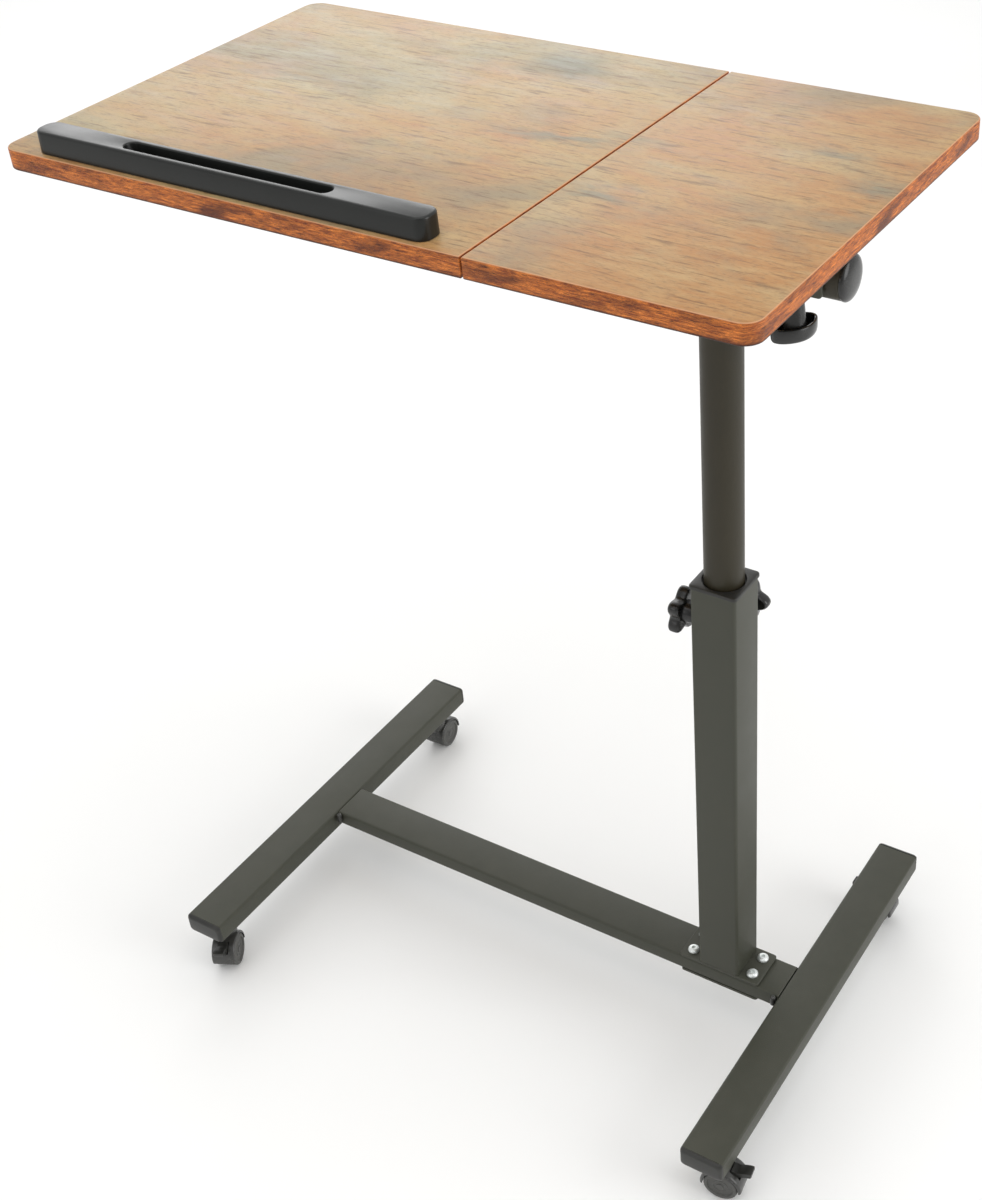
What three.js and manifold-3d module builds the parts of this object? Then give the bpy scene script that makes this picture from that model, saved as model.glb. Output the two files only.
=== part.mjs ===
// Overbed table with a split top: a large board that tilts for reading, a small fixed board,
// a telescopic swivelling mast clamped by hand knobs, and an H-shaped base on four castors.
// Millimetres, +Z up, the floor at z = 0, the user's side towards -Y.
// The origin is on the floor under the middle of the closed top.

import * as THREE from 'three';
import { mergeVertices } from 'three/addons/utils/BufferGeometryUtils.js';
import Module from 'manifold-3d';

const wasm = await Module();
wasm.setup();

// ---- Driving dimensions -------------------------------------------------------------------

const GAP = 0.3;                    // clearance between pieces that touch

const TOP_LENGTH = 600;             // both boards together, along X
const TOP_DEPTH = 350;
const TOP_SURFACE_Z = 831;
const BOARD_THICKNESS = 15;
const BOARD_SPLIT = 1.5;            // slit between the two boards
const LARGE_BOARD_LENGTH = 397;
const BOARD_CORNER = 13;            // radius of the four outer corners

const MAST_X = 183.4;               // column, mast and swivel axis
const HEAD_Z = 779;                 // axis of the horizontal tilt tubes
const TUBE_RADIUS = 16;             // mast and head sleeve, 32 mm tube
const TUBE_WALL = 2;
const SHAFT_RADIUS = TUBE_RADIUS - TUBE_WALL - GAP;

const COLUMN_SIDE = 40;
const COLUMN_WALL = 1.5;
const COLUMN_TOP_Z = 500;
const MAST_FOOT_Z = 290;            // lower end of the mast inside the column
const KNOB_Z = 460;                 // both column knobs

const LEG_TOP_Z = 70;
const LEG_HEIGHT = 20;
const LEG_WIDTH = 40;
const LEG_SPAN = 406;               // along Y, over the end plugs
const LEG_CORNER = 2;
const LEFT_LEG_X = -279.2;
const RIGHT_LEG_X = 265.2;
const PLUG_FLANGE = 3.5;
const FRAME_WALL = 1.5;
const CROSSBAR_HEIGHT = 16;

const PLATE_LENGTH = 81;            // foot plate and clamp plate of the column
const PLATE_WIDTH = 40;
const FOOT_PLATE_THICKNESS = 3;
const CLAMP_PLATE_THICKNESS = 2.5;
const BOLT_SPACING_X = 61;
const BOLT_SPACING_Y = 21;
const BOLT_RADIUS = 3;
const STUD_RADIUS = 4;              // clamping screws and castor studs

const FRONT_CASTOR_Y = -176;
const REAR_CASTOR_Y = 174;
const WHEEL_RADIUS = 15.5;
const WHEEL_WIDTH = 7.8;
const CASTOR_TRAIL = 7.5;           // from the swivel axis back to the wheel axle
const WEB_HALF_THICKNESS = 3.4;     // the hood's web between the twin wheels
const HOOD_INNER_RADIUS = 16.4;
const HOOD_OUTER_RADIUS = 18.6;
const PEDAL_HALF_WIDTH = 5;

const LEDGE_LENGTH = 337;
const LEDGE_WIDTH = 22;
const LEDGE_HEIGHT = 16;
const LEDGE_GROOVE_DEPTH = 8;

// ---- Materials ----------------------------------------------------------------------------

const paint = { color: 0x35352f, roughness: 0.45, metalness: 0.3 };
const wood = { color: 0xa8764a, roughness: 0.5, metalness: 0 };
const plastic = { color: 0x141414, roughness: 0.35, metalness: 0 };
const nylon = { color: 0x2e2f2d, roughness: 0.6, metalness: 0 };
const zinc = { color: 0xb8b8b4, roughness: 0.3, metalness: 1 };

const table = new THREE.Group();

function addPiece(name, geometry, look, parent = table) {
  const piece = new THREE.Mesh(geometry, new THREE.MeshStandardMaterial(look));
  piece.name = name;
  parent.add(piece);
  return piece;
}

// ---- Solid shapes, each standing on z = 0 around the Z axis -----------------------------------

function roundedRectangle(width, depth, radius) {
  const x = width / 2;
  const y = depth / 2;
  const shape = new THREE.Shape();
  shape.moveTo(-x + radius, -y);
  shape.lineTo(x - radius, -y);
  shape.absarc(x - radius, -y + radius, radius, -Math.PI / 2, 0);
  shape.lineTo(x, y - radius);
  shape.absarc(x - radius, y - radius, radius, 0, Math.PI / 2);
  shape.lineTo(-x + radius, y);
  shape.absarc(-x + radius, y - radius, radius, Math.PI / 2, Math.PI);
  shape.lineTo(-x, -y + radius);
  shape.absarc(-x + radius, -y + radius, radius, Math.PI, 1.5 * Math.PI);
  return shape;
}

function extrude(shape, height, curveSegments = 2) {
  return new THREE.ExtrudeGeometry(shape, { depth: height, bevelEnabled: false, curveSegments });
}

function block(width, depth, height, radius = 0) {
  if (radius > 0) {
    return extrude(roundedRectangle(width, depth, radius), height);
  }
  return new THREE.BoxGeometry(width, depth, height).translate(0, 0, height / 2);
}

function cylinder(radius, height, segments = 24) {
  const geometry = new THREE.CylinderGeometry(radius, radius, height, segments);
  return geometry.rotateX(Math.PI / 2).translate(0, 0, height / 2);
}

// profile: [radius, height] pairs from the axis at the bottom to the axis at the top
function turned(profile, segments = 24) {
  const points = profile.map(([radius, height]) => new THREE.Vector2(radius, height));
  return new THREE.LatheGeometry(points, segments).rotateX(Math.PI / 2);
}

function squareTube(width, depth, length, wall, corner) {
  const shape = roundedRectangle(width, depth, corner);
  shape.holes.push(roundedRectangle(width - 2 * wall, depth - 2 * wall, Math.max(corner - wall, 0.4)));
  return extrude(shape, length);
}

function roundTube(radius, wall, length) {
  const shape = new THREE.Shape();
  shape.absarc(0, 0, radius, 0, 2 * Math.PI);
  const bore = new THREE.Path();
  bore.absarc(0, 0, radius - wall, 0, 2 * Math.PI);
  shape.holes.push(bore);
  return extrude(shape, length, 14);
}

function alongX(geometry) {
  return geometry.rotateY(Math.PI / 2);
}

function alongY(geometry) {
  return geometry.rotateX(-Math.PI / 2);
}

// ---- Joining and cutting ----------------------------------------------------------------------

function toSolid(geometry) {
  const bare = geometry.clone();
  bare.deleteAttribute('normal');
  bare.deleteAttribute('uv');
  const merged = mergeVertices(bare, 1e-3);
  const corners = [];
  for (let i = 0; i < merged.index.count; i += 3) {
    const [a, b, c] = [0, 1, 2].map((k) => merged.index.getX(i + k));
    if (a !== b && b !== c && c !== a) {
      corners.push(a, b, c);
    }
  }
  const vertProperties = new Float32Array(merged.attributes.position.array);
  return new wasm.Manifold(new wasm.Mesh({ numProp: 3, vertProperties, triVerts: new Uint32Array(corners) }));
}

function toGeometry(solid) {
  const mesh = solid.getMesh();
  const geometry = new THREE.BufferGeometry();
  geometry.setAttribute('position', new THREE.BufferAttribute(mesh.vertProperties, 3));
  geometry.setIndex(new THREE.BufferAttribute(mesh.triVerts, 1));
  geometry.computeVertexNormals();
  return geometry;
}

function join(...geometries) {
  return toGeometry(geometries.map(toSolid).reduce((whole, piece) => whole.add(piece)));
}

function cut(geometry, ...tools) {
  return toGeometry(tools.map(toSolid).reduce((whole, tool) => whole.subtract(tool), toSolid(geometry)));
}

// ---- Base frame -------------------------------------------------------------------------------

const boltPlaces = [];
for (const sx of [-1, 1]) {
  for (const sy of [-1, 1]) {
    boltPlaces.push([MAST_X + sx * BOLT_SPACING_X / 2, sy * BOLT_SPACING_Y / 2]);
  }
}

function boltHoles(bottom, height) {
  return boltPlaces.map(([x, y]) => cylinder(BOLT_RADIUS + GAP, height, 8).translate(x, y, bottom));
}

function buildLeg(name, x) {
  const tubeLength = LEG_SPAN - 2 * (PLUG_FLANGE + GAP);
  const tube = squareTube(LEG_WIDTH, LEG_HEIGHT, tubeLength, FRAME_WALL, LEG_CORNER);
  tube.rotateX(-Math.PI / 2).translate(x, -tubeLength / 2, LEG_TOP_Z - LEG_HEIGHT / 2);
  const studHoles = [FRONT_CASTOR_Y, REAR_CASTOR_Y].map((y) => (
    cylinder(STUD_RADIUS + GAP, 10, 12).translate(x, y, LEG_TOP_Z - LEG_HEIGHT - 5)));
  addPiece(name, cut(tube, ...studHoles), paint);

  for (const [end, side] of [['front', -1], ['rear', 1]]) {
    const flange = block(LEG_WIDTH, LEG_HEIGHT, PLUG_FLANGE, LEG_CORNER);
    const hollow = FRAME_WALL + GAP;
    const spigot = block(LEG_WIDTH - 2 * hollow, LEG_HEIGHT - 2 * hollow, 12, 1).translate(0, 0, -11.9);
    const plug = join(flange, spigot).rotateX(-side * Math.PI / 2);
    plug.translate(x, side * (LEG_SPAN / 2 - PLUG_FLANGE), LEG_TOP_Z - LEG_HEIGHT / 2);
    addPiece(`${name}_${end}_plug`, plug, plastic);
  }
}

function buildCrossbar() {
  const start = LEFT_LEG_X + LEG_WIDTH / 2 + GAP;
  const end = RIGHT_LEG_X - LEG_WIDTH / 2 - GAP;
  const tube = squareTube(CROSSBAR_HEIGHT, LEG_WIDTH, end - start, FRAME_WALL, LEG_CORNER);
  alongX(tube).translate(start, 0, LEG_TOP_Z - CROSSBAR_HEIGHT / 2);
  addPiece('crossbar', cut(tube, ...boltHoles(LEG_TOP_Z - CROSSBAR_HEIGHT - 1, CROSSBAR_HEIGHT + 2)), paint);
}

// Screw that ties the crossbar's saddle to a leg in the inner corner.
function buildCornerScrew(name, x) {
  const screw = turned([[0, 0], [2.6, 0], [2.6, 8], [1.8, 9.6], [0, 9.6]], 12);
  addPiece(name, screw.translate(x, -LEG_WIDTH / 2 - 3, LEG_TOP_Z - 9), zinc);
}

// ---- Column -----------------------------------------------------------------------------------

function buildColumnFoot() {
  const plateBottom = LEG_TOP_Z + GAP;
  const plate = block(PLATE_LENGTH, PLATE_WIDTH, FOOT_PLATE_THICKNESS, 3).translate(MAST_X, 0, plateBottom);
  addPiece('column_foot_plate', cut(plate, ...boltHoles(LEG_TOP_Z - 1, 8)), paint);

  const clampTop = LEG_TOP_Z - CROSSBAR_HEIGHT - GAP;
  const clampBottom = clampTop - CLAMP_PLATE_THICKNESS;
  const clamp = block(PLATE_LENGTH - 2, PLATE_WIDTH, CLAMP_PLATE_THICKNESS, 3);
  clamp.translate(MAST_X, 0, clampBottom);
  addPiece('clamp_plate', cut(clamp, ...boltHoles(clampBottom - 2, 6)), paint);

  const headBottom = plateBottom + FOOT_PLATE_THICKNESS + GAP;
  const shankLength = headBottom - clampBottom + 1;
  boltPlaces.forEach(([x, y], index) => {
    const profile = [
      [0, -shankLength], [BOLT_RADIUS, -shankLength], [BOLT_RADIUS, 0], [5.4, 0],
      [5, 1.8], [3.4, 3.1], [0, 3.3],
    ];
    addPiece(`foot_bolt_${index + 1}`, turned(profile, 12).translate(x, y, headBottom), zinc);
  });
}

function buildLowerColumn() {
  const bottom = LEG_TOP_Z + FOOT_PLATE_THICKNESS + 2 * GAP;
  const tube = squareTube(COLUMN_SIDE, COLUMN_SIDE, COLUMN_TOP_Z - bottom, COLUMN_WALL, 3);
  tube.translate(MAST_X, 0, bottom);
  const sideHole = alongX(cylinder(STUD_RADIUS + GAP, 20, 12)).translate(MAST_X - 30, 0, KNOB_Z);
  const rearHole = alongY(cylinder(STUD_RADIUS + GAP, 20, 12)).translate(MAST_X, 10, KNOB_Z);
  addPiece('lower_column', cut(tube, sideHole, rearHole), paint);

  const flange = block(COLUMN_SIDE + 2, COLUMN_SIDE + 2, 3, 3);
  const skirtSide = COLUMN_SIDE - 2 * (COLUMN_WALL + GAP);
  const skirt = block(skirtSide, skirtSide, 26, 1.5).translate(0, 0, -25.9);
  const bore = cylinder(TUBE_RADIUS + 0.45, 40, 28).translate(0, 0, -30);
  const mouth = cylinder(TUBE_RADIUS + 1.3, 5, 28).translate(0, 0, 0.2);
  const bush = cut(join(flange, skirt), bore, mouth);
  addPiece('column_bush', bush.translate(MAST_X, 0, COLUMN_TOP_Z + GAP), plastic);
}

// ---- Clamping screws: bosses and hand knobs -----------------------------------------------------

function starOutline(radius, lobes, depth) {
  const shape = new THREE.Shape();
  const steps = 6 * lobes;
  for (let i = 0; i < steps; i += 1) {
    const angle = (i / steps) * 2 * Math.PI;
    const reach = radius - depth / 2 + (depth / 2) * Math.cos(lobes * angle);
    if (i === 0) {
      shape.moveTo(reach, 0);
    } else {
      shape.lineTo(reach * Math.cos(angle), reach * Math.sin(angle));
    }
  }
  shape.closePath();
  return shape;
}

// Star knob on the Z axis: stud tip at z = 0, head away from it.
const BOSS_LENGTH = 4;
const KNOB_HUB_LENGTH = 8.5;
const STAR_RADIUS = 20;
const STAR_THICKNESS = 10;

function starKnob() {
  const hubStart = COLUMN_SIDE / 2 - TUBE_RADIUS + BOSS_LENGTH + GAP;
  const hub = turned([
    [0, 0], [STUD_RADIUS, 0], [STUD_RADIUS, hubStart], [8, hubStart],
    [9.5, hubStart + KNOB_HUB_LENGTH + 1], [0, hubStart + KNOB_HUB_LENGTH + 1],
  ], 16);
  const head = new THREE.ExtrudeGeometry(starOutline(STAR_RADIUS - 2, 5, 6), {
    depth: STAR_THICKNESS - 4, bevelThickness: 2, bevelSize: 2, bevelSegments: 1,
  }).translate(0, 0, hubStart + KNOB_HUB_LENGTH + 2);
  return join(hub, head);
}

function boss(length) {
  return cut(cylinder(8, length, 16), cylinder(STUD_RADIUS + GAP, length + 2, 12).translate(0, 0, -1));
}

function buildColumnClamps() {
  const face = COLUMN_SIDE / 2 + GAP;
  const studTip = TUBE_RADIUS + GAP;
  const sideBoss = alongX(boss(BOSS_LENGTH)).rotateZ(Math.PI).translate(MAST_X - face, 0, KNOB_Z);
  addPiece('side_clamp_boss', sideBoss, paint);
  addPiece('rear_clamp_boss', alongY(boss(BOSS_LENGTH)).translate(MAST_X, face, KNOB_Z), paint);

  const sideKnob = alongX(starKnob().rotateZ(-Math.PI / 2)).rotateZ(Math.PI);
  addPiece('side_knob', sideKnob.translate(MAST_X - studTip, 0, KNOB_Z), plastic);
  addPiece('rear_knob', alongY(starKnob()).translate(MAST_X, studTip, KNOB_Z), plastic);
}

function ovalOutline(length, width) {
  const shape = new THREE.Shape();
  const steps = 24;
  for (let i = 0; i < steps; i += 1) {
    const angle = (i / steps) * 2 * Math.PI;
    const x = (length / 2) * Math.cos(angle);
    const y = (width / 2) * Math.sin(angle) * (1 - 0.2 * Math.cos(angle) ** 2);
    if (i === 0) {
      shape.moveTo(x, y);
    } else {
      shape.lineTo(x, y);
    }
  }
  shape.closePath();
  return shape;
}

const TILT_KNOB_X = 239.4;
const TILT_KNOB_TURN = 66 * Math.PI / 180;

function buildTiltLock() {
  const sleeveBottom = HEAD_Z - TUBE_RADIUS;
  const collar = cut(
    cylinder(8, 12, 16).translate(0, 0, sleeveBottom - 7),
    alongX(cylinder(TUBE_RADIUS + GAP, 40, 28)).translate(-20, 0, HEAD_Z),
    cylinder(STUD_RADIUS + GAP, 30, 12).translate(0, 0, sleeveBottom - 12),
  );
  addPiece('tilt_lock_boss', collar.translate(TILT_KNOB_X, 0, 0), paint);

  const skirtBottom = 727;
  const skirtHeight = 11;
  const hubTop = sleeveBottom - 7 - GAP;
  const studTop = HEAD_Z - SHAFT_RADIUS - GAP;
  const shell = cut(
    extrude(ovalOutline(38, 24.5), skirtHeight),
    extrude(ovalOutline(33.6, 20), skirtHeight).translate(0, 0, 2.5),
  ).translate(0, 0, skirtBottom);
  const hub = turned([
    [0, skirtBottom + 1], [9.5, skirtBottom + 1], [6.5, hubTop], [STUD_RADIUS, hubTop],
    [STUD_RADIUS, studTop], [0, studTop],
  ], 16);
  const knob = join(shell, hub).rotateZ(TILT_KNOB_TURN);
  addPiece('tilt_knob', knob.translate(TILT_KNOB_X, 0, 0), plastic);
}

// ---- Mast and head ------------------------------------------------------------------------------

const SLEEVE_START_X = 112;
const SLEEVE_END_X = 278;

function buildMast() {
  const sleeveClearance = alongX(cylinder(TUBE_RADIUS + GAP, 60, 28)).translate(-30, 0, HEAD_Z);
  const tube = roundTube(TUBE_RADIUS, TUBE_WALL, HEAD_Z - MAST_FOOT_Z).translate(0, 0, MAST_FOOT_Z);
  addPiece('mast', cut(tube, sleeveClearance).translate(MAST_X, 0, 0), paint);

  const padSide = COLUMN_SIDE - 2 * (COLUMN_WALL + GAP);
  const pad = block(padSide, padSide, 18, 1.5).translate(0, 0, MAST_FOOT_Z - GAP - 18);
  const spigot = cylinder(TUBE_RADIUS - TUBE_WALL - GAP, 24, 20).translate(0, 0, MAST_FOOT_Z - 1);
  addPiece('mast_glide', join(pad, spigot).translate(MAST_X, 0, 0), plastic);
}

function buildHead() {
  const sleeve = alongX(roundTube(TUBE_RADIUS, TUBE_WALL, SLEEVE_END_X - SLEEVE_START_X));
  sleeve.translate(SLEEVE_START_X, 0, HEAD_Z);
  const screwHole = cylinder(STUD_RADIUS + GAP, 10, 12);
  screwHole.translate(TILT_KNOB_X, 0, HEAD_Z - TUBE_RADIUS - 5);
  addPiece('head_sleeve', cut(sleeve, screwHole), paint);

  const cap = turned([
    [0, -12], [TUBE_RADIUS - TUBE_WALL - GAP, -12], [TUBE_RADIUS - TUBE_WALL - GAP, 0],
    [TUBE_RADIUS + 0.3, 0], [TUBE_RADIUS + 0.3, 1.6], [14.5, 3.6], [10, 4.9], [0, 5.4],
  ]);
  addPiece('sleeve_end_cap', alongX(cap).translate(SLEEVE_END_X + GAP, 0, HEAD_Z), plastic);
}

// ---- Boards and their brackets ------------------------------------------------------------------

const BOARD_BOTTOM_Z = TOP_SURFACE_Z - BOARD_THICKNESS;
const BRACKET_THICKNESS = 2.5;
const BRACKET_BOTTOM_Z = 769;

function boardOutline(length, outerSide) {
  const x = length / 2;
  const y = TOP_DEPTH / 2;
  const shape = new THREE.Shape();
  shape.moveTo(-outerSide * x, -y);
  shape.lineTo(outerSide * (x - BOARD_CORNER), -y);
  const outward = outerSide > 0 ? 0 : -Math.PI;
  const clockwise = outerSide < 0;
  const cornerX = outerSide * (x - BOARD_CORNER);
  shape.absarc(cornerX, -y + BOARD_CORNER, BOARD_CORNER, -Math.PI / 2, outward, clockwise);
  shape.lineTo(outerSide * x, y - BOARD_CORNER);
  const backward = outward + outerSide * Math.PI / 2;
  shape.absarc(cornerX, y - BOARD_CORNER, BOARD_CORNER, outward, backward, clockwise);
  shape.lineTo(-outerSide * x, y);
  shape.closePath();
  return shape;
}

function buildBoard(name, length, centreX, outerSide) {
  const board = extrude(boardOutline(length, outerSide), BOARD_THICKNESS, 4);
  addPiece(name, board.translate(centreX, 0, BOARD_BOTTOM_Z), wood);
}

// Hat-shaped steel bracket: screwed flat to a board, its two cheeks welded to a tube.
function buildBracket(name, x, tubeRadius) {
  const top = BOARD_BOTTOM_Z - GAP;
  const width = 30;
  const plate = block(width, 110, BRACKET_THICKNESS).translate(0, 0, top - BRACKET_THICKNESS);
  const cheekHeight = top - BRACKET_BOTTOM_Z;
  const cheeks = [-1, 1].map((side) => {
    const cheek = extrude(roundedRectangle(width, cheekHeight, 3), BRACKET_THICKNESS);
    const middle = side * (tubeRadius + GAP + BRACKET_THICKNESS / 2);
    const centreZ = top - cheekHeight / 2 - 0.1;
    return cheek.rotateX(Math.PI / 2).translate(0, middle + BRACKET_THICKNESS / 2, centreZ);
  });
  addPiece(name, join(plate, ...cheeks).translate(x, 0, 0), paint);
}

function buildTop() {
  const smallLength = TOP_LENGTH - LARGE_BOARD_LENGTH - BOARD_SPLIT;
  buildBoard('large_board', LARGE_BOARD_LENGTH, (LARGE_BOARD_LENGTH - TOP_LENGTH) / 2, -1);
  buildBoard('small_board', smallLength, (TOP_LENGTH - smallLength) / 2, 1);
  buildBracket('small_board_inner_bracket', 132, TUBE_RADIUS);
  buildBracket('small_board_outer_bracket', 253, TUBE_RADIUS);
  buildBracket('large_board_inner_bracket', 70, SHAFT_RADIUS);
  buildBracket('large_board_outer_bracket', -230, SHAFT_RADIUS);
}

const SHAFT_START_X = -262;
const SHAFT_END_X = 262;

function buildTiltShaft() {
  const shaft = alongX(roundTube(SHAFT_RADIUS, TUBE_WALL, SHAFT_END_X - SHAFT_START_X));
  addPiece('tilt_shaft', shaft.translate(SHAFT_START_X, 0, HEAD_Z), paint);

  const cap = turned([
    [0, -10], [SHAFT_RADIUS - TUBE_WALL - GAP, -10], [SHAFT_RADIUS - TUBE_WALL - GAP, 0],
    [SHAFT_RADIUS, 0], [SHAFT_RADIUS, 2], [11, 4.6], [0, 6],
  ]);
  addPiece('shaft_end_cap', alongX(cap).rotateZ(Math.PI).translate(SHAFT_START_X - GAP, 0, HEAD_Z), plastic);
}

function buildLedge() {
  const body = block(LEDGE_LENGTH, LEDGE_WIDTH, LEDGE_HEIGHT, 6);
  const groove = block(178, 11.5, LEDGE_HEIGHT, 5.7).translate(0, 0, LEDGE_HEIGHT - LEDGE_GROOVE_DEPTH);
  const centreX = -100;
  const centreY = -TOP_DEPTH / 2 + 4.5 + LEDGE_WIDTH / 2;
  addPiece('pen_ledge', cut(body, groove).translate(centreX, centreY, TOP_SURFACE_Z + GAP), plastic);
}

// ---- Castors: built trailing towards +X round a swivel axis on Z, the floor at z = 0 --------------

const AXLE_RADIUS = 2.5;
const BARREL_TOP_Z = LEG_TOP_Z - LEG_HEIGHT - 2.8;
const BARREL_BORE_Z = 38;
const HOOD_HALF_WIDTH = WEB_HALF_THICKNESS + GAP + WHEEL_WIDTH;

// A slab across the castor, cut to an outline drawn in its X-Z plane about the axle.
function acrossAxle(shape, halfWidth, curveSegments = 4) {
  const slab = extrude(shape, 2 * halfWidth, curveSegments);
  return slab.rotateX(Math.PI / 2).translate(CASTOR_TRAIL, halfWidth, WHEEL_RADIUS);
}

function sector(innerRadius, outerRadius, startDegrees, endDegrees) {
  const start = startDegrees * Math.PI / 180;
  const end = endDegrees * Math.PI / 180;
  const shape = new THREE.Shape();
  shape.absarc(0, 0, outerRadius, start, end, false);
  shape.absarc(0, 0, innerRadius, end, start, true);
  shape.closePath();
  return shape;
}

function hoodGeometry(hasBrake) {
  const cover = acrossAxle(sector(HOOD_INNER_RADIUS - 1, HOOD_OUTER_RADIUS, -6, 186), HOOD_HALF_WIDTH, 8);
  const webShape = new THREE.Shape();
  webShape.absarc(0, 0, HOOD_OUTER_RADIUS - 0.5, -0.1, Math.PI + 0.1);
  webShape.absarc(0, 0, 7, Math.PI + 0.3, -0.3);
  webShape.closePath();
  const web = acrossAxle(webShape, WEB_HALF_THICKNESS, 6);
  const barrel = cylinder(9.5, BARREL_TOP_Z - 22, 16).translate(0, 0, 22);
  const wheelRoom = [-1, 1].map((side) => {
    const room = cylinder(HOOD_INNER_RADIUS, 20, 24).rotateX(Math.PI / 2);
    const nearFace = side > 0 ? WEB_HALF_THICKNESS + 20 : -WEB_HALF_THICKNESS;
    return room.translate(CASTOR_TRAIL, nearFace, WHEEL_RADIUS);
  });
  const studBore = cylinder(STUD_RADIUS + GAP, 20, 12).translate(0, 0, BARREL_BORE_Z);
  const axleBore = cylinder(AXLE_RADIUS + GAP, 20, 12).rotateX(Math.PI / 2);
  axleBore.translate(CASTOR_TRAIL, 10, WHEEL_RADIUS);
  const hood = cut(join(cover, web, barrel), ...wheelRoom, studBore, axleBore);
  if (!hasBrake) {
    return hood;
  }
  return cut(hood, acrossAxle(sector(15.6, 26, 30, 69), PEDAL_HALF_WIDTH + 0.5));
}

function wheelGeometry() {
  return turned([
    [0, 3], [AXLE_RADIUS + GAP, 3], [AXLE_RADIUS + GAP, WHEEL_WIDTH], [WHEEL_RADIUS, WHEEL_WIDTH],
    [WHEEL_RADIUS, 1.2], [WHEEL_RADIUS - 1.2, 0], [0, 0],
  ].reverse(), 24);
}

// Brake pedal: a tongue in the hood's slot, with a tab to step on.
function pedalGeometry() {
  const shape = new THREE.Shape();
  const polar = (radius, degrees) => {
    const angle = degrees * Math.PI / 180;
    return [radius * Math.cos(angle), radius * Math.sin(angle)];
  };
  shape.moveTo(...polar(16.9, 66));
  shape.lineTo(...polar(17.1, 46));
  shape.lineTo(...polar(22.5, 38));
  shape.lineTo(...polar(30, 33));
  shape.lineTo(...polar(33.5, 39));
  shape.lineTo(...polar(28, 46));
  shape.lineTo(...polar(21.6, 55));
  shape.lineTo(...polar(20.2, 66));
  shape.closePath();
  return acrossAxle(shape, PEDAL_HALF_WIDTH);
}

function studGeometry() {
  const legBottom = LEG_TOP_Z - LEG_HEIGHT;
  return turned([
    [0, BARREL_BORE_Z + GAP], [STUD_RADIUS, BARREL_BORE_Z + GAP], [STUD_RADIUS, BARREL_TOP_Z + GAP],
    [9, BARREL_TOP_Z + GAP], [9, legBottom - GAP], [STUD_RADIUS, legBottom - GAP],
    [STUD_RADIUS, legBottom + 9], [0, legBottom + 9],
  ], 12);
}

function buildCastor(place, x, y, heading, hasBrake) {
  const castor = new THREE.Group();
  castor.position.set(x, y, 0);
  castor.rotation.z = heading * Math.PI / 180;
  table.add(castor);

  addPiece(`${place}_castor_stud`, studGeometry(), zinc, castor);
  addPiece(`${place}_castor_hood`, hoodGeometry(hasBrake), nylon, castor);
  const axleLength = 2 * (WEB_HALF_THICKNESS + GAP + WHEEL_WIDTH - 3 - GAP);
  const axle = cylinder(AXLE_RADIUS, axleLength, 12).rotateX(Math.PI / 2);
  addPiece(`${place}_castor_axle`, axle.translate(CASTOR_TRAIL, axleLength / 2, WHEEL_RADIUS), zinc, castor);

  for (const [hand, side] of [['left', 1], ['right', -1]]) {
    const wheel = wheelGeometry().rotateX(side * Math.PI / 2);
    wheel.translate(CASTOR_TRAIL, side * (WEB_HALF_THICKNESS + GAP + WHEEL_WIDTH), WHEEL_RADIUS);
    addPiece(`${place}_castor_${hand}_wheel`, wheel, nylon, castor);
  }
  if (hasBrake) {
    addPiece(`${place}_castor_pedal`, pedalGeometry(), plastic, castor);
  }
}

// ---- Assembly -------------------------------------------------------------------------------------

buildLeg('left_leg', LEFT_LEG_X);
buildLeg('right_leg', RIGHT_LEG_X);
buildCrossbar();
buildCornerScrew('left_corner_screw', LEFT_LEG_X + LEG_WIDTH / 2 + 4);
buildCornerScrew('right_corner_screw', RIGHT_LEG_X - LEG_WIDTH / 2 - 4);
buildColumnFoot();
buildLowerColumn();
buildColumnClamps();
buildMast();
buildHead();
buildTiltLock();
buildTop();
buildTiltShaft();
buildLedge();
buildCastor('front_left', LEFT_LEG_X, FRONT_CASTOR_Y, -64, true);
buildCastor('rear_left', LEFT_LEG_X, REAR_CASTOR_Y, 94, false);
buildCastor('front_right', RIGHT_LEG_X, FRONT_CASTOR_Y, 8, true);
buildCastor('rear_right', RIGHT_LEG_X, REAR_CASTOR_Y, 180, true);

export default table;
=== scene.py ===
# Overbed table: a split wood-effect top on a swivelling telescopic mast, over an H-shaped steel
# base on castors. Metres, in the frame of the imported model. The sections follow the order in
# which the table is put together, from the legs up to the top, and then the castors.

import math

import bpy
import bmesh
from mathutils import Matrix, Vector


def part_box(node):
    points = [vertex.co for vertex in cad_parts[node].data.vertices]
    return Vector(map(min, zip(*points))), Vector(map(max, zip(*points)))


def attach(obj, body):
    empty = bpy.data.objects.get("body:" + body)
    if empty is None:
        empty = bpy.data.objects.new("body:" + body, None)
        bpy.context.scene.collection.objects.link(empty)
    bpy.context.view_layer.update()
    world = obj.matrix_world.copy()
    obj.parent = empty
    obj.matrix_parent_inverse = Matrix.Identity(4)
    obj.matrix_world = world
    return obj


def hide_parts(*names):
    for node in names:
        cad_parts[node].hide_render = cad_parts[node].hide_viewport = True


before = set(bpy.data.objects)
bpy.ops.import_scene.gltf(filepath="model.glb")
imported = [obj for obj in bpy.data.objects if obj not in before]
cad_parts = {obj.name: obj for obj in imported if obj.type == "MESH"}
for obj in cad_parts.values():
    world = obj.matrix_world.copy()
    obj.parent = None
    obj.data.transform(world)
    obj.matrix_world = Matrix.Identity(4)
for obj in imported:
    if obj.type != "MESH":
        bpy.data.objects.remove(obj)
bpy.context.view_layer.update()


# ---- Powder-coated paint ----
# The steelwork has a baked powder coat with a fine orange-peel skin, olive-brown. The mast and head
# sleeve take a darker, browner copy of the same coat: painted shade from the boards above them, and
# painted warm light bounced off the floor. Its arrises are paler, partly rubbed wear and partly a
# painted highlight, and it is dusty on top.

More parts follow.
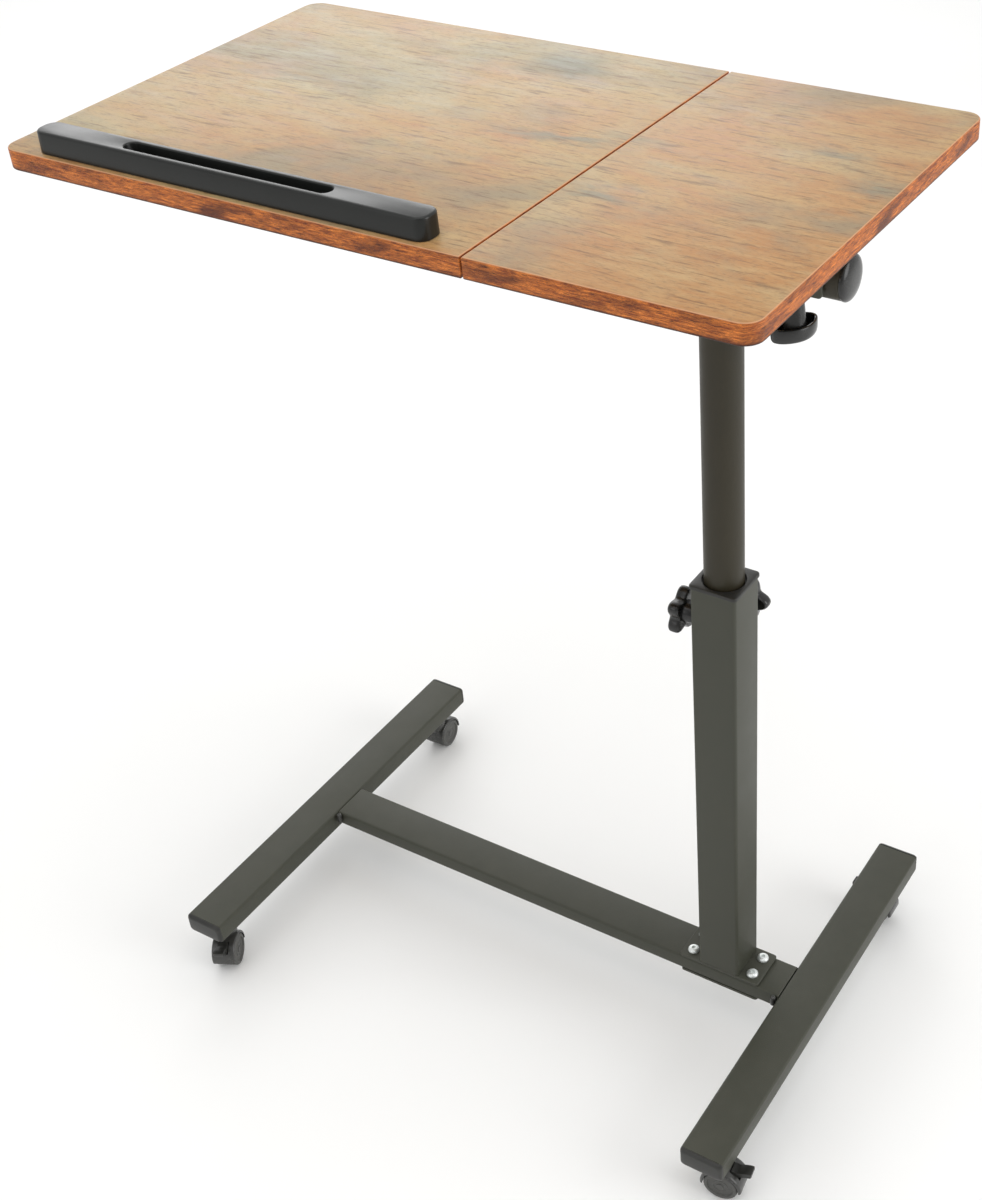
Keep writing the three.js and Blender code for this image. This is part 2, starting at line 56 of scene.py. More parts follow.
def add_node(tree, kind, inputs=None, **settings):
    """A node with its settings, and with each input set to a value or joined to a socket."""
    node = tree.nodes.new(kind)
    for name, value in settings.items():
        setattr(node, name, value)
    for socket, value in (inputs or {}).items():
        if isinstance(value, bpy.types.NodeSocket):
            tree.links.new(value, node.inputs[socket])
        else:
            node.inputs[socket].default_value = value
    return node


def mix_colour(tree, factor, first, second):
    """Mixes two colours, each a socket or red, green and blue."""
    first, second = [(*side, 1) if isinstance(side, tuple) else side for side in (first, second)]
    return add_node(tree, "ShaderNodeMix", {0: factor, 6: first, 7: second},
                    data_type="RGBA").outputs[2]


def remap(tree, value, low, high, new_low=0.0, new_high=1.0):
    """Stretches the span low..high of a mask to new_low..new_high, and clamps it."""
    node = add_node(tree, "ShaderNodeMapRange", {
        "Value": value, "From Min": low, "From Max": high, "To Min": new_low, "To Max": new_high})
    return node.outputs["Result"]


def multiply(tree, first, second):
    return add_node(tree, "ShaderNodeMath", {0: first, 1: second}, operation="MULTIPLY").outputs[0]


def vector_math(tree, operation, inputs, output="Vector"):
    return add_node(tree, "ShaderNodeVectorMath", inputs, operation=operation).outputs[output]


def noise(tree, vector, scale, detail=3.0, rough=0.5, distortion=0.0):
    return add_node(tree, "ShaderNodeTexNoise", {
        "Vector": vector, "Scale": scale, "Detail": detail, "Roughness": rough,
        "Distortion": distortion}).outputs["Fac"]


def start_group(name, inputs, outputs):
    """A shader group with float or vector inputs (name: default) and named float outputs."""
    group = bpy.data.node_groups.new(name, "ShaderNodeTree")
    for label, default in inputs.items():
        is_vector = isinstance(default, tuple)
        kind = "NodeSocketVector" if is_vector else "NodeSocketFloat"
        socket = group.interface.new_socket(label, in_out="INPUT", socket_type=kind)
        socket.default_value = default
    for label in outputs:
        group.interface.new_socket(label, in_out="OUTPUT", socket_type="NodeSocketFloat")
    return group, group.nodes.new("NodeGroupInput"), group.nodes.new("NodeGroupOutput")


def use_group(tree, group, **inputs):
    return add_node(tree, "ShaderNodeGroup", inputs, node_tree=group).outputs


def object_place(tree):
    return add_node(tree, "ShaderNodeTexCoord").outputs["Object"]


# Moulded or baked skin: a fine pebble for the bump, and broad blotches for colour and gloss.
skin_texture, given, made = start_group("skin_texture", {"Pebbles": 900.0}, ["Pebble", "Blotch"])
where = object_place(skin_texture)
pebble = noise(skin_texture, where, given.outputs["Pebbles"], detail=2.0)
skin_texture.links.new(pebble, made.inputs["Pebble"])
blotch = noise(skin_texture, where, 22.0, detail=4.0, rough=0.6)
skin_texture.links.new(remap(skin_texture, blotch, 0.3, 0.7), made.inputs["Blotch"])

# Arrises, paler where hands and shoes rub and with a painted highlight along them: the rounded normal
# leaves the flat one near an edge.
worn_and_highlit_edges, given, made = start_group("worn_and_highlit_edges", {"Width": 0.0012, "Breakup": 180.0}, ["Rub"])
rounded = add_node(worn_and_highlit_edges, "ShaderNodeBevel", {"Radius": given.outputs["Width"]}, samples=4)
flat = add_node(worn_and_highlit_edges, "ShaderNodeNewGeometry")
facing = vector_math(worn_and_highlit_edges, "DOT_PRODUCT", {
    0: rounded.outputs["Normal"], 1: flat.outputs["Normal"]}, "Value")
where = object_place(worn_and_highlit_edges)
patches = remap(worn_and_highlit_edges, noise(worn_and_highlit_edges, where, given.outputs["Breakup"]), 0.35, 0.65)
edge_wear_and_highlight = multiply(worn_and_highlit_edges, remap(worn_and_highlit_edges, facing, 0.995, 0.9), patches)
worn_and_highlit_edges.links.new(edge_wear_and_highlight, made.inputs["Rub"])

# Dust lies on what faces up, in soft drifts.
settled_dust, given, made = start_group("settled_dust", {"Drifts": 35.0}, ["Dust"])
upward = add_node(settled_dust, "ShaderNodeSeparateXYZ", {
    0: add_node(settled_dust, "ShaderNodeNewGeometry").outputs["Normal"]}).outputs["Z"]
where = object_place(settled_dust)
drifts = noise(settled_dust, where, given.outputs["Drifts"], 5.0, 0.65)
drifts = remap(settled_dust, drifts, 0.35, 0.75)
dust = multiply(settled_dust, remap(settled_dust, upward, 0.6, 1.0), drifts)
settled_dust.links.new(dust, made.inputs["Dust"])


def start_material(name, **constants):
    """A material and its tree, with the shader's own constants set."""
    material = bpy.data.materials.new(name)
    material.use_nodes = True
    tree = material.node_tree
    shader = tree.nodes["Principled BSDF"]
    for label, value in constants.items():
        shader.inputs[label.replace("_", " ")].default_value = value
    return material, tree, shader


def dress(tree, shader, colour, gloss, roughness, height, depth):
    """Gives a shader its colour, its roughness over a mask, and a bump of so many metres."""
    tree.links.new(colour, shader.inputs["Base Color"])
    tree.links.new(remap(tree, gloss, 0.0, 1.0, *roughness), shader.inputs["Roughness"])
    node = add_node(tree, "ShaderNodeBump", {"Height": height, "Distance": depth, "Strength": 1.0})
    tree.links.new(node.outputs["Normal"], shader.inputs["Normal"])


def skinned(name, pebbles, depth, colours, roughness, edge_wear_and_highlight=None, dust=None, **constants):
    """A baked or moulded skin. The entry for edges is width, breakup, amount and colour, for edges
    painted paler, partly as wear and partly as a painted highlight; dust has no width.
    """
    material, tree, shader = start_material(name, **constants)
    skin = use_group(tree, skin_texture, Pebbles=pebbles)
    colour = mix_colour(tree, skin["Blotch"], *colours)
    if edge_wear_and_highlight:
        width, breakup, amount, wear_and_highlight_colour = edge_wear_and_highlight
        wear_and_highlight_mask = use_group(tree, worn_and_highlit_edges, Width=width, Breakup=breakup)["Rub"]
        colour = mix_colour(tree, multiply(tree, wear_and_highlight_mask, amount), colour, wear_and_highlight_colour)
    if dust:
        drifts, amount, grey = dust
        lying = use_group(tree, settled_dust, Drifts=drifts)["Dust"]
        colour = mix_colour(tree, multiply(tree, lying, amount), colour, grey)
    dress(tree, shader, colour, skin["Blotch"], roughness, skin["Pebble"], depth)
    return material


def powder_coat(name, deep, pale):
    return skinned(name, 1100.0, 0.00012, (deep, pale), (0.40, 0.50),
                   edge_wear_and_highlight=(0.0012, 140.0, 0.35, (0.15, 0.148, 0.125)),
                   dust=(28.0, 0.03, (0.30, 0.29, 0.25)), Specular_IOR_Level=0.3)


frame_paint = powder_coat("olive_brown_powder_coat", (0.046, 0.048, 0.035), (0.053, 0.054, 0.040))


# ---- Legs ----
# Two 40 x 20 mm rectangular steel tubes, one across each end of the base. They are drawn tube
# with a 1.5 mm wall and tight round corners, sawn to length, deburred and powder coated.

TUBE_WALL = 0.0015
LEG_CORNER = 0.0024
TO_X = Matrix.Rotation(math.pi / 2, 4, "Y")
TO_MINUS_X = Matrix.Rotation(-math.pi / 2, 4, "Y")
TO_Y = Matrix.Rotation(-math.pi / 2, 4, "X")
TO_MINUS_Y = Matrix.Rotation(math.pi / 2, 4, "X")
UPRIGHT = Matrix.Identity(4)


def rounded_rectangle(width, depth, radius, height=0.0, arc=5, side=0):
    """Points round a rectangle with arcs for corners and extra points along its sides."""
    points = []
    for turn, (side_x, side_y) in enumerate(((1, 1), (-1, 1), (-1, -1), (1, -1))):
        centre_x = side_x * (width / 2 - radius)
        centre_y = side_y * (depth / 2 - radius)
        for step in range(arc + 1):
            angle = (turn + step / arc) * math.pi / 2
            x = centre_x + radius * math.cos(angle)
            y = centre_y + radius * math.sin(angle)
            points.append((x, y, height))
        next_x, next_y = ((-1, 1), (-1, -1), (1, -1), (1, 1))[turn]
        angle = (turn + 1) * math.pi / 2
        end_x = next_x * (width / 2 - radius) + radius * math.cos(angle)
        end_y = next_y * (depth / 2 - radius) + radius * math.sin(angle)
        for step in range(1, side + 1):
            share = step / (side + 1)
            points.append((x + (end_x - x) * share, y + (end_y - y) * share, height))
    return points


def loft(rings, hollow=False):
    """A closed skin through rings of as many points; a hollow one runs back to its first ring."""
    skin = bmesh.new()
    loops = [[skin.verts.new(point) for point in outline] for outline in rings]
    pairs = list(zip(loops, loops[1:]))
    if hollow:
        pairs.append((loops[-1], loops[0]))
    else:
        skin.faces.new(loops[0])
        skin.faces.new(loops[-1])
    for lower, upper in pairs:
        for i, corner in enumerate(lower):
            j = (i + 1) % len(lower)
            skin.faces.new((corner, lower[j], upper[j], upper[i]))
    bmesh.ops.recalc_face_normals(skin, faces=skin.faces)
    return skin


def put(skin, turn, place):
    """Turns a skin about the origin and moves it to its place."""
    skin.transform(Matrix.Translation(place) @ turn)
    return skin


def rectangular_tube(width, depth, length, corner, wall=TUBE_WALL, burr=0.0004):
    """A rectangular tube up the Z axis, its sawn ends deburred."""
    outside = [(0, burr), (burr, 0), (length - burr, 0), (length, burr)]
    inside = [(length, wall), (0, wall)]
    return loft([
        rounded_rectangle(width - 2 * inset, depth - 2 * inset, max(corner - inset, 0.0005), height)
        for height, inset in outside + inside], hollow=True)


def mesh_from(name, skin):
    mesh = bpy.data.meshes.new(name)
    skin.to_mesh(mesh)
    skin.free()
    return mesh


def add_object(name, data):
    thing = bpy.data.objects.new(name, data)
    bpy.context.scene.collection.objects.link(thing)
    return thing


def ride(name, mesh, body, nodes, crease):
    """Makes a mesh into a piece that rides on a body and stands for its nodes of the model."""
    mesh.shade_smooth()
    mesh.set_sharp_from_angle(angle=math.radians(crease))
    piece = add_object(name, mesh)
    if nodes:
        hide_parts(*nodes)
    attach(piece, body)
    return piece


def finish(name, skin, material, body, slot, *nodes, crease=35):
    mesh = mesh_from(name, skin)
    mesh.materials.append(material)
    return ride(name, mesh, body, nodes, crease)


def middle(box):
    low, high = box
    return (low + high) / 2


def foot(box):
    """The middle of a box's underside."""
    centre = middle(box)
    return Vector((centre.x, centre.y, box[0].z))


for hand in ("left", "right"):
    low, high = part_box(f"{hand}_leg")
    leg = rectangular_tube(high.x - low.x, high.z - low.z, high.y - low.y, LEG_CORNER)
    put(leg, TO_Y, ((low.x + high.x) / 2, low.y, (low.z + high.z) / 2))
    finish(f"{hand}_leg_tube", leg, frame_paint, "base", "frame_paint", f"{hand}_leg")


# ---- Leg plugs ----
# Moulded black plastic plugs, pressed into the four open tube ends. Each has a flange with a
# softly rounded outer face, flush with the tube, and a narrower spigot inside the tube.

PLUG_FLANGE = 0.0035
PLUG_ROUNDING = 0.0033

satin_plastic = skinned(
    "black_satin_moulding", 1600.0, 0.00006, ((0.016, 0.016, 0.014), (0.024, 0.024, 0.021)),
    (0.36, 0.48), edge_wear_and_highlight=(0.0009, 260.0, 0.5, (0.10, 0.10, 0.092)), Specular_IOR_Level=0.45)


for hand in ("left", "right"):
    for end in ("front", "rear"):
        low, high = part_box(f"{hand}_leg_{end}_plug")
        width = high.x - low.x
        depth = high.z - low.z
        length = high.y - low.y
        profile = []
        for step in range(5):
            angle = step / 4 * math.pi / 2
            inset = PLUG_ROUNDING * (1 - math.sin(angle))
            profile.append((PLUG_ROUNDING * (1 - math.cos(angle)), inset))
        profile += [
            (PLUG_FLANGE, 0), (PLUG_FLANGE, TUBE_WALL + 0.0003), (length - 0.001, TUBE_WALL + 0.0003),
            (length, TUBE_WALL + 0.0013)]
        plug = loft([
            rounded_rectangle(width - 2 * inset, depth - 2 * inset, LEG_CORNER + 0.8 * inset, height)
            for height, inset in profile])
        turn, face = (TO_Y, low.y) if end == "front" else (TO_MINUS_Y, high.y)
        put(plug, turn, ((low.x + high.x) / 2, face, (low.z + high.z) / 2))
        name = f"{hand}_leg_{end}_plug"
        finish(f"{name}_moulding", plug, satin_plastic, "base", "cap_plastic", name)


# ---- Crossbar ----
# A 40 x 16 mm steel tube joins the legs into an H, its top level with theirs. It is welded to
# the legs along its sides and underneath, and painted with them.

low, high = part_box("crossbar")
crossbar = rectangular_tube(high.z - low.z, high.y - low.y, high.x - low.x, LEG_CORNER)
put(crossbar, TO_X, (low.x, 0, (low.z + high.z) / 2))
finish("crossbar_tube", crossbar, frame_paint, "base", "frame_paint", "crossbar")


# ---- Corner screws ----
# A short black-coated steel screw stands in the inner corner at each end of the crossbar, where
# it pins the joint. Its round head has a pressed cross recess, drawn here as a shallow dimple.

# Its paler arrises are partly wear and partly a painted highlight on the dark head.
black_screw = skinned(
    "black_coated_screw", 2000.0, 0.00003, ((0.022, 0.022, 0.020), (0.034, 0.034, 0.030)),
    (0.28, 0.40), edge_wear_and_highlight=(0.0006, 400.0, 0.8, (0.30, 0.30, 0.28)), Specular_IOR_Level=0.5)


def ring(radius, height, count, start=0.0):
    """Points round a circle, the first of them at the start angle."""
    points = []
    for i in range(count):
        angle = start + 2 * math.pi * i / count
        points.append((radius * math.cos(angle), radius * math.sin(angle), height))
    return points


def turned_rings(profile, count):
    """Rings round Z, from millimetre (radius, height) pairs."""
    return [ring(radius / 1000, height / 1000, count) for radius, height in profile]


def turned(profile, count=32, hollow=False):
    return loft(turned_rings(profile, count), hollow)


CORNER_SCREW = [
    (2.2, 0), (2.6, 0.4), (2.6, 8.2), (2.4, 8.9), (1.9, 9.4), (1.3, 9.6), (1.1, 9.2), (0.3, 9.0)]

for hand in ("left", "right"):
    name = f"{hand}_corner_screw"
    screw = put(turned(CORNER_SCREW, 20), UPRIGHT, foot(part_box(name)))
    finish(f"{name}_turned", screw, black_screw, "base", "black_screw", name)


# ---- Column foot: plates and bolts ----
# The column stands on a 3 mm steel foot plate, clamped to the crossbar by a second plate below.
# Four zinc-plated button-head bolts with hexagon sockets go through both plates and the tube.

PLATE_CORNER = 0.003
BOLT_HEAD = [(5.4, 0), (5.4, 0.9), (5.1, 1.7), (4.4, 2.5), (3.5, 3.1), (2.6, 3.3)]
SOCKET_RADIUS = 0.0021
SOCKET_DEPTH = 0.0018
SHANK_RADIUS = 0.003
BOLT_POINTS = 48

zinc_plate = skinned(
    "bright_zinc_plate", 2400.0, 0.00003, ((0.66, 0.70, 0.70), (0.82, 0.85, 0.83)),
    (0.34, 0.46), Metallic=0.75)


def flat_plate(width, depth, thickness, corner=PLATE_CORNER, edge=0.0005):
    """A sheared steel plate on Z = 0 with its edges broken."""
    profile = [(0, edge), (edge, 0), (thickness - edge, 0), (thickness, edge)]
    return loft([
        rounded_rectangle(width - 2 * inset, depth - 2 * inset, max(corner - inset, 0.0004), height)
        for height, inset in profile])


for node in ("column_foot_plate", "clamp_plate"):
    low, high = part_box(node)
    plate = flat_plate(high.x - low.x, high.y - low.y, high.z - low.z)
    put(plate, UPRIGHT, foot((low, high)))
    finish(f"{node}_steel", plate, frame_paint, "base", "frame_paint", node)


def socket_bolt(length):
    """One button-head bolt, its head standing on Z = 0 and its shank going down."""
    socket = []
    for i in range(BOLT_POINTS):
        angle = 2 * math.pi * i / BOLT_POINTS
        swing = (angle % (math.pi / 3)) - math.pi / 6
        reach = SOCKET_RADIUS * math.cos(math.pi / 6) / math.cos(swing)
        socket.append((reach * math.cos(angle), reach * math.sin(angle)))
    shank = [(SHANK_RADIUS - 0.0005, -length), (SHANK_RADIUS, 0.0005 - length), (SHANK_RADIUS, 0)]
    rings = [ring(radius, height, BOLT_POINTS) for radius, height in shank]
    rings += turned_rings(BOLT_HEAD, BOLT_POINTS)
    top = BOLT_HEAD[-1][1] / 1000
    for height in (top, top - SOCKET_DEPTH):
        rings.append([(x, y, height) for x, y in socket])
    return loft(rings)


def stamp(tree, points, instance, inputs, coat=None):
    """Sets real copies of a mesh on points, and coats them with a material if one is given."""
    copies = add_node(tree, "GeometryNodeInstanceOnPoints", {
        "Points": points, "Instance": instance, **inputs}).outputs["Instances"]
    copies = add_node(tree, "GeometryNodeRealizeInstances", {"Geometry": copies}).outputs["Geometry"]
    if coat:
        copies = add_node(tree, "GeometryNodeSetMaterial", {
            "Geometry": copies, "Material": coat}).outputs["Geometry"]
    return copies


def start_tree(name, inputs):
    """A geometry tree that takes a mesh and the named inputs, and gives a mesh."""
    tree = bpy.data.node_groups.new(name, "GeometryNodeTree")
    tree.interface.new_socket("Geometry", in_out="INPUT", socket_type="NodeSocketGeometry")
    for label, kind in inputs.items():
        tree.interface.new_socket(label, in_out="INPUT", socket_type=kind)
    tree.interface.new_socket("Geometry", in_out="OUTPUT", socket_type="NodeSocketGeometry")
    given = tree.nodes.new("NodeGroupInput")
    made = tree.nodes.new("NodeGroupOutput")
    return tree, given.outputs, made.inputs


# Repeats the fixing it is given at the corners of a rectangle, on each of several plates in a
# row, and gives every fixing its own turn, as it was tightened.
fixings_on_plates, given, made = start_tree("fixings_on_plates", {
    "Spacing Along": "NodeSocketFloat", "Spacing Across": "NodeSocketFloat",
    "First Plate": "NodeSocketVector", "Plate Step": "NodeSocketVector",
    "Plates": "NodeSocketInt", "Seed": "NodeSocketInt", "Finish": "NodeSocketMaterial"})
grid = add_node(fixings_on_plates, "GeometryNodeMeshGrid", {
    "Size X": given["Spacing Along"], "Size Y": given["Spacing Across"],
    "Vertices X": 2, "Vertices Y": 2})
row = add_node(fixings_on_plates, "GeometryNodeMeshLine", {
    "Count": given["Plates"], "Start Location": given["First Plate"], "Offset": given["Plate Step"]},
    mode="OFFSET")
corners = stamp(fixings_on_plates, row.outputs["Mesh"], grid.outputs["Mesh"], {})
turn = add_node(fixings_on_plates, "FunctionNodeRandomValue", {
    "Min": (0.0, 0.0, 0.0), "Max": (0.0, 0.0, 6.283), "Seed": given["Seed"]},
    data_type="FLOAT_VECTOR")
fixings = stamp(fixings_on_plates, corners, given["Geometry"], {
    "Rotation": turn.outputs["Value"]}, given["Finish"])
fixings_on_plates.links.new(fixings, made["Geometry"])


def grow(name, skin, tree, values, body, slot, *nodes, crease=35):
    """Runs a geometry tree on a skin, and makes the result a plain piece on a body."""
    source = add_object(f"{name}_source", mesh_from(name, skin))
    modifier = source.modifiers.new(name, "NODES")
    modifier.node_group = tree
    for item in tree.interface.items_tree:
        if item.in_out == "INPUT" and item.name in values:
            modifier[item.identifier] = values[item.name]
    evaluated = source.evaluated_get(bpy.context.evaluated_depsgraph_get())
    grown = bpy.data.meshes.new_from_object(evaluated)
    bpy.data.objects.remove(source)
    grown.name = name
    return ride(name, grown, body, nodes, crease)


first = middle(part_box("foot_bolt_1"))
last = middle(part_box("foot_bolt_4"))
low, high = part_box("foot_bolt_1")
seat = high.z - BOLT_HEAD[-1][1] / 1000
grow("foot_bolts", socket_bolt(seat - low.z), fixings_on_plates, {
    "Spacing Along": last.x - first.x, "Spacing Across": last.y - first.y,
    "First Plate": ((first.x + last.x) / 2, (first.y + last.y) / 2, seat),
    "Plate Step": (0.1, 0, 0), "Plates": 1, "Seed": 4, "Finish": zinc_plate},
    "base", "zinc_plate", "foot_bolt_1", "foot_bolt_2", "foot_bolt_3", "foot_bolt_4")


# ---- Column ----
# A 40 mm square steel tube, welded upright to its foot plate and painted. A black moulded bush
# closes the top: a thin square flange outside and a round bore that guides the mast.

COLUMN_CORNER = 0.003
BUSH_FLANGE = 0.003
BUSH_MOUTH = 0.0173
BUSH_BORE = 0.01645
BUSH_POINTS = 40
SKIRT_STEP = 0.0056

low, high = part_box("lower_column")
mast_axis = middle((low, high))
mast_axis.z = 0
column = rectangular_tube(high.x - low.x, high.y - low.y, high.z - low.z, COLUMN_CORNER)
put(column, UPRIGHT, (mast_axis.x, 0, low.z))
finish("lower_column_tube", column, frame_paint, "base", "frame_paint", "lower_column")


def square_ring(side, corner, height):
    return rounded_rectangle(side, side, corner, height, arc=4, side=5)


low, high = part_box("column_bush")
flange_side = high.x - low.x
flange_base = high.z - low.z - BUSH_FLANGE
skirt_side = flange_side - SKIRT_STEP
rim = flange_base + BUSH_FLANGE
seat = flange_base + 0.0002
lean = math.radians(45 - 360 / BUSH_POINTS * 2)
bush = loft([
    square_ring(skirt_side, 0.0015, 0),
    square_ring(skirt_side, 0.0015, flange_base),
    square_ring(flange_side, 0.0032, flange_base),
    square_ring(flange_side, 0.0032, rim - 0.0009),
    square_ring(flange_side - 0.0006, 0.0029, rim - 0.0003),
    square_ring(flange_side - 0.0018, 0.0024, rim),
] + [ring(radius, height, BUSH_POINTS, lean) for radius, height in (
    (BUSH_MOUTH + 0.0005, rim), (BUSH_MOUTH, rim - 0.0005), (BUSH_MOUTH, seat), (BUSH_BORE, seat),
    (BUSH_BORE, 0))], hollow=True)
put(bush, UPRIGHT, (mast_axis.x, 0, low.z))
finish("column_bush_moulding", bush, satin_plastic, "base", "cap_plastic", "column_bush")


# ---- Column clamps ----
# Two steel bosses are welded to the column, on its left and its rear. Through each goes a screw
# that presses on the mast, with a glossy black five-lobed hand knob moulded on its end.

# Millimetres, like every turned profile in this file.
BOSS_RADIUS = 8.0
STUD_RADIUS = 4.0
STUD_CLEARANCE = 0.3
BOSS_LENGTH = 4.0
HUB_START = 8.3
HEAD_START = 16.8
HEAD_THICKNESS = 10.0
STAR_RADIUS = 20.0
LOBES = 5
LOBE_DEPTH = 6.2
STAR_POINTS = 60

gloss_plastic = skinned(
    "black_gloss_moulding", 700.0, 0.00004, ((0.007, 0.007, 0.007), (0.012, 0.012, 0.011)),
    (0.20, 0.32), edge_wear_and_highlight=(0.0008, 300.0, 0.4, (0.06, 0.06, 0.056)),
    Specular_IOR_Level=0.42, Coat_Weight=0.15, Coat_Roughness=0.1)


def star_ring(radius, height):
    points = []
    for i in range(STAR_POINTS):
        angle = 2 * math.pi * i / STAR_POINTS
        reach = radius - LOBE_DEPTH / 2 + LOBE_DEPTH / 2 * math.cos(LOBES * angle)
        points.append((reach * math.cos(angle) / 1000, reach * math.sin(angle) / 1000, height / 1000))
    return points


def star_knob():
    """A hand knob round Z: hub, lobed head with rounded edges, and a dished end."""
    top = HEAD_START + HEAD_THICKNESS
    rings = turned_rings([
        (STUD_RADIUS, HUB_START), (7.6, HUB_START), (8.0, HUB_START + 0.5), (9.4, HEAD_START + 0.4)],
        STAR_POINTS)
    for inset, height in ((4.0, 0.2), (1.6, 0.3), (0.5, 1.2), (0.0, 3.0)):
        rings.append(star_ring(STAR_RADIUS - inset, HEAD_START + height))
    for inset, height in ((0.0, 3.0), (0.5, 1.3), (1.6, 0.3), (3.4, 0.0)):
        rings.append(star_ring(STAR_RADIUS - inset, top - height))
    dish = [(8.6, 0.2), (7.8, 1.0), (6.0, 1.6), (1.0, 1.8)]
    rings += turned_rings([(radius, top - down) for radius, down in dish], STAR_POINTS)
    return loft(rings)


def clamp_screw(tip, shoulder):
    """The plated screw of a knob, round Z, chamfered at its tip."""
    return turned([(STUD_RADIUS - 1, tip), (STUD_RADIUS, tip + 1), (STUD_RADIUS, shoulder)], 24)


def merged(skin, *others):
    """Puts several closed skins into one."""
    for other in others:
        mesh = mesh_from("part", other)
        skin.from_mesh(mesh)
        bpy.data.meshes.remove(mesh)
    return skin


boss_profile = [
    (STUD_RADIUS + STUD_CLEARANCE, 0), (BOSS_RADIUS - 0.3, 0), (BOSS_RADIUS, 0.3),
    (BOSS_RADIUS, BOSS_LENGTH - 0.6), (BOSS_RADIUS - 0.6, BOSS_LENGTH),
    (STUD_RADIUS + STUD_CLEARANCE, BOSS_LENGTH)]
for place, turn, outward, lobe_turn in (
        ("side", TO_MINUS_X, Vector((-1, 0, 0)), 90), ("rear", TO_Y, Vector((0, 1, 0)), 0)):
    seat = middle(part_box(f"{place}_clamp_boss")) - outward * BOSS_LENGTH / 2000
    boss = put(turned(boss_profile, 32, hollow=True), turn, seat)
    finish(f"{place}_boss", boss, frame_paint, "base", "frame_paint", f"{place}_clamp_boss")

    low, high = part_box(f"{place}_knob")
    tip = Vector((high.x, 0, seat.z)) if place == "side" else Vector((mast_axis.x, low.y, seat.z))
    knob = put(star_knob(), turn @ Matrix.Rotation(math.radians(lobe_turn), 4, "Z"), tip)
    finish(f"{place}_star_knob", knob, gloss_plastic, f"{place}_knob", "knob_plastic", f"{place}_knob")
    screw = put(clamp_screw(0, HUB_START + 1), turn, tip)
    finish(f"{place}_clamp_screw", screw, zinc_plate, f"{place}_knob", "zinc_plate")


# ---- Mast ----
# A 32 mm round steel tube slides and turns in the column. Its top is sawn to a saddle and welded
# under the head sleeve; a black moulded glide fills its foot and runs inside the square column.

# The frame coat again, darker and browner: painted shade under the boards and painted warm bounce light,
# not a coat of its own.
frame_paint_painted_shade = powder_coat("frame_coat_painted_shade", (0.026, 0.022, 0.012), (0.032, 0.027, 0.015))

MAST_RADIUS = 0.016
MAST_WALL = 0.002
WELD_GAP = 0.0003
MAST_POINTS = 48

head_axis = middle(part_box("tilt_shaft"))
low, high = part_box("mast")


def saddle_ring(radius, count=MAST_POINTS):
    """The ring where an upright tube meets the underside of the head sleeve, at a weld gap."""
    points = []
    for x, y, _ in ring(radius, 0, count):
        drop = math.sqrt((MAST_RADIUS + WELD_GAP) ** 2 - y * y)
        points.append((x, y, head_axis.z - drop))
    return points


mast = loft([
    ring(MAST_RADIUS, low.z, MAST_POINTS),
    saddle_ring(MAST_RADIUS),
    saddle_ring(MAST_RADIUS - MAST_WALL),
    ring(MAST_RADIUS - MAST_WALL, low.z, MAST_POINTS),
], hollow=True)
put(mast, UPRIGHT, mast_axis)
finish("mast_tube", mast, frame_paint_painted_shade, "swivel_mast", "frame_paint", "mast")


def recolour(node, material):
    """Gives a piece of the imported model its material, where its own shape is enough."""
    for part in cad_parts[node].material_slots:
        part.material = material


recolour("mast_glide", satin_plastic)


# ---- Head sleeve ----
# A 32 mm steel tube lies across the top of the mast and carries the small board; the tilt shaft
# turns inside it. A domed cap, moulded in glossy black, is pressed into its outer end.


def round_tube(radius, length, burr, count):
    """A round tube up the Z axis, its sawn ends deburred."""
    outside = [(radius - burr, 0), (radius, burr), (radius, length - burr), (radius - burr, length)]
    inside = [(radius - MAST_WALL, length), (radius - MAST_WALL, 0)]
    return loft([ring(reach, height, count) for reach, height in outside + inside], hollow=True)


low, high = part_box("head_sleeve")
sleeve = round_tube(MAST_RADIUS, high.x - low.x, 0.0004, 56)
put(sleeve, TO_X, (low.x, 0, head_axis.z))
finish("head_sleeve_tube", sleeve, frame_paint_painted_shade, "swivel_mast", "frame_paint", "head_sleeve")

SLEEVE_CAP = [
    (13.2, -12), (13.7, -11.4), (13.7, 0), (16.2, 0), (16.3, 0.2), (16.3, 1.1), (16.1, 1.7),
    (15.4, 2.6), (13.8, 3.6), (11.4, 4.4), (8.4, 5.0), (5.0, 5.3), (1.2, 5.4)]
low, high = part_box("sleeve_end_cap")
cap = put(turned(SLEEVE_CAP, 48), TO_X, (low.x + 0.012, 0, head_axis.z))
finish("sleeve_cap", cap, gloss_plastic, "swivel_mast", "cap_plastic", "sleeve_end_cap")


# ---- Tilt lock ----
# A short steel boss is welded under the sleeve. Its screw presses on the tilt shaft, and its
# knob is a pointed oval cup of glossy black plastic round a tapered hub, open towards the sleeve.

KNOB_LENGTH = 38.0
KNOB_WIDTH = 24.5
KNOB_TURN = math.radians(66)
CUP_HEIGHT = 11.0

low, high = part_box("tilt_lock_boss")
lock_axis = middle((low, high))
lock_axis.z = 0
lock_boss = loft([
    ring((STUD_RADIUS + STUD_CLEARANCE) / 1000, low.z, 32),
    ring(BOSS_RADIUS / 1000 - 0.0005, low.z, 32),
    ring(BOSS_RADIUS / 1000, low.z + 0.0005, 32),
    saddle_ring(BOSS_RADIUS / 1000, 32),
    saddle_ring((STUD_RADIUS + STUD_CLEARANCE) / 1000, 32),
], hollow=True)
put(lock_boss, UPRIGHT, lock_axis)
finish("tilt_boss", lock_boss, frame_paint, "swivel_mast", "frame_paint", "tilt_lock_boss")


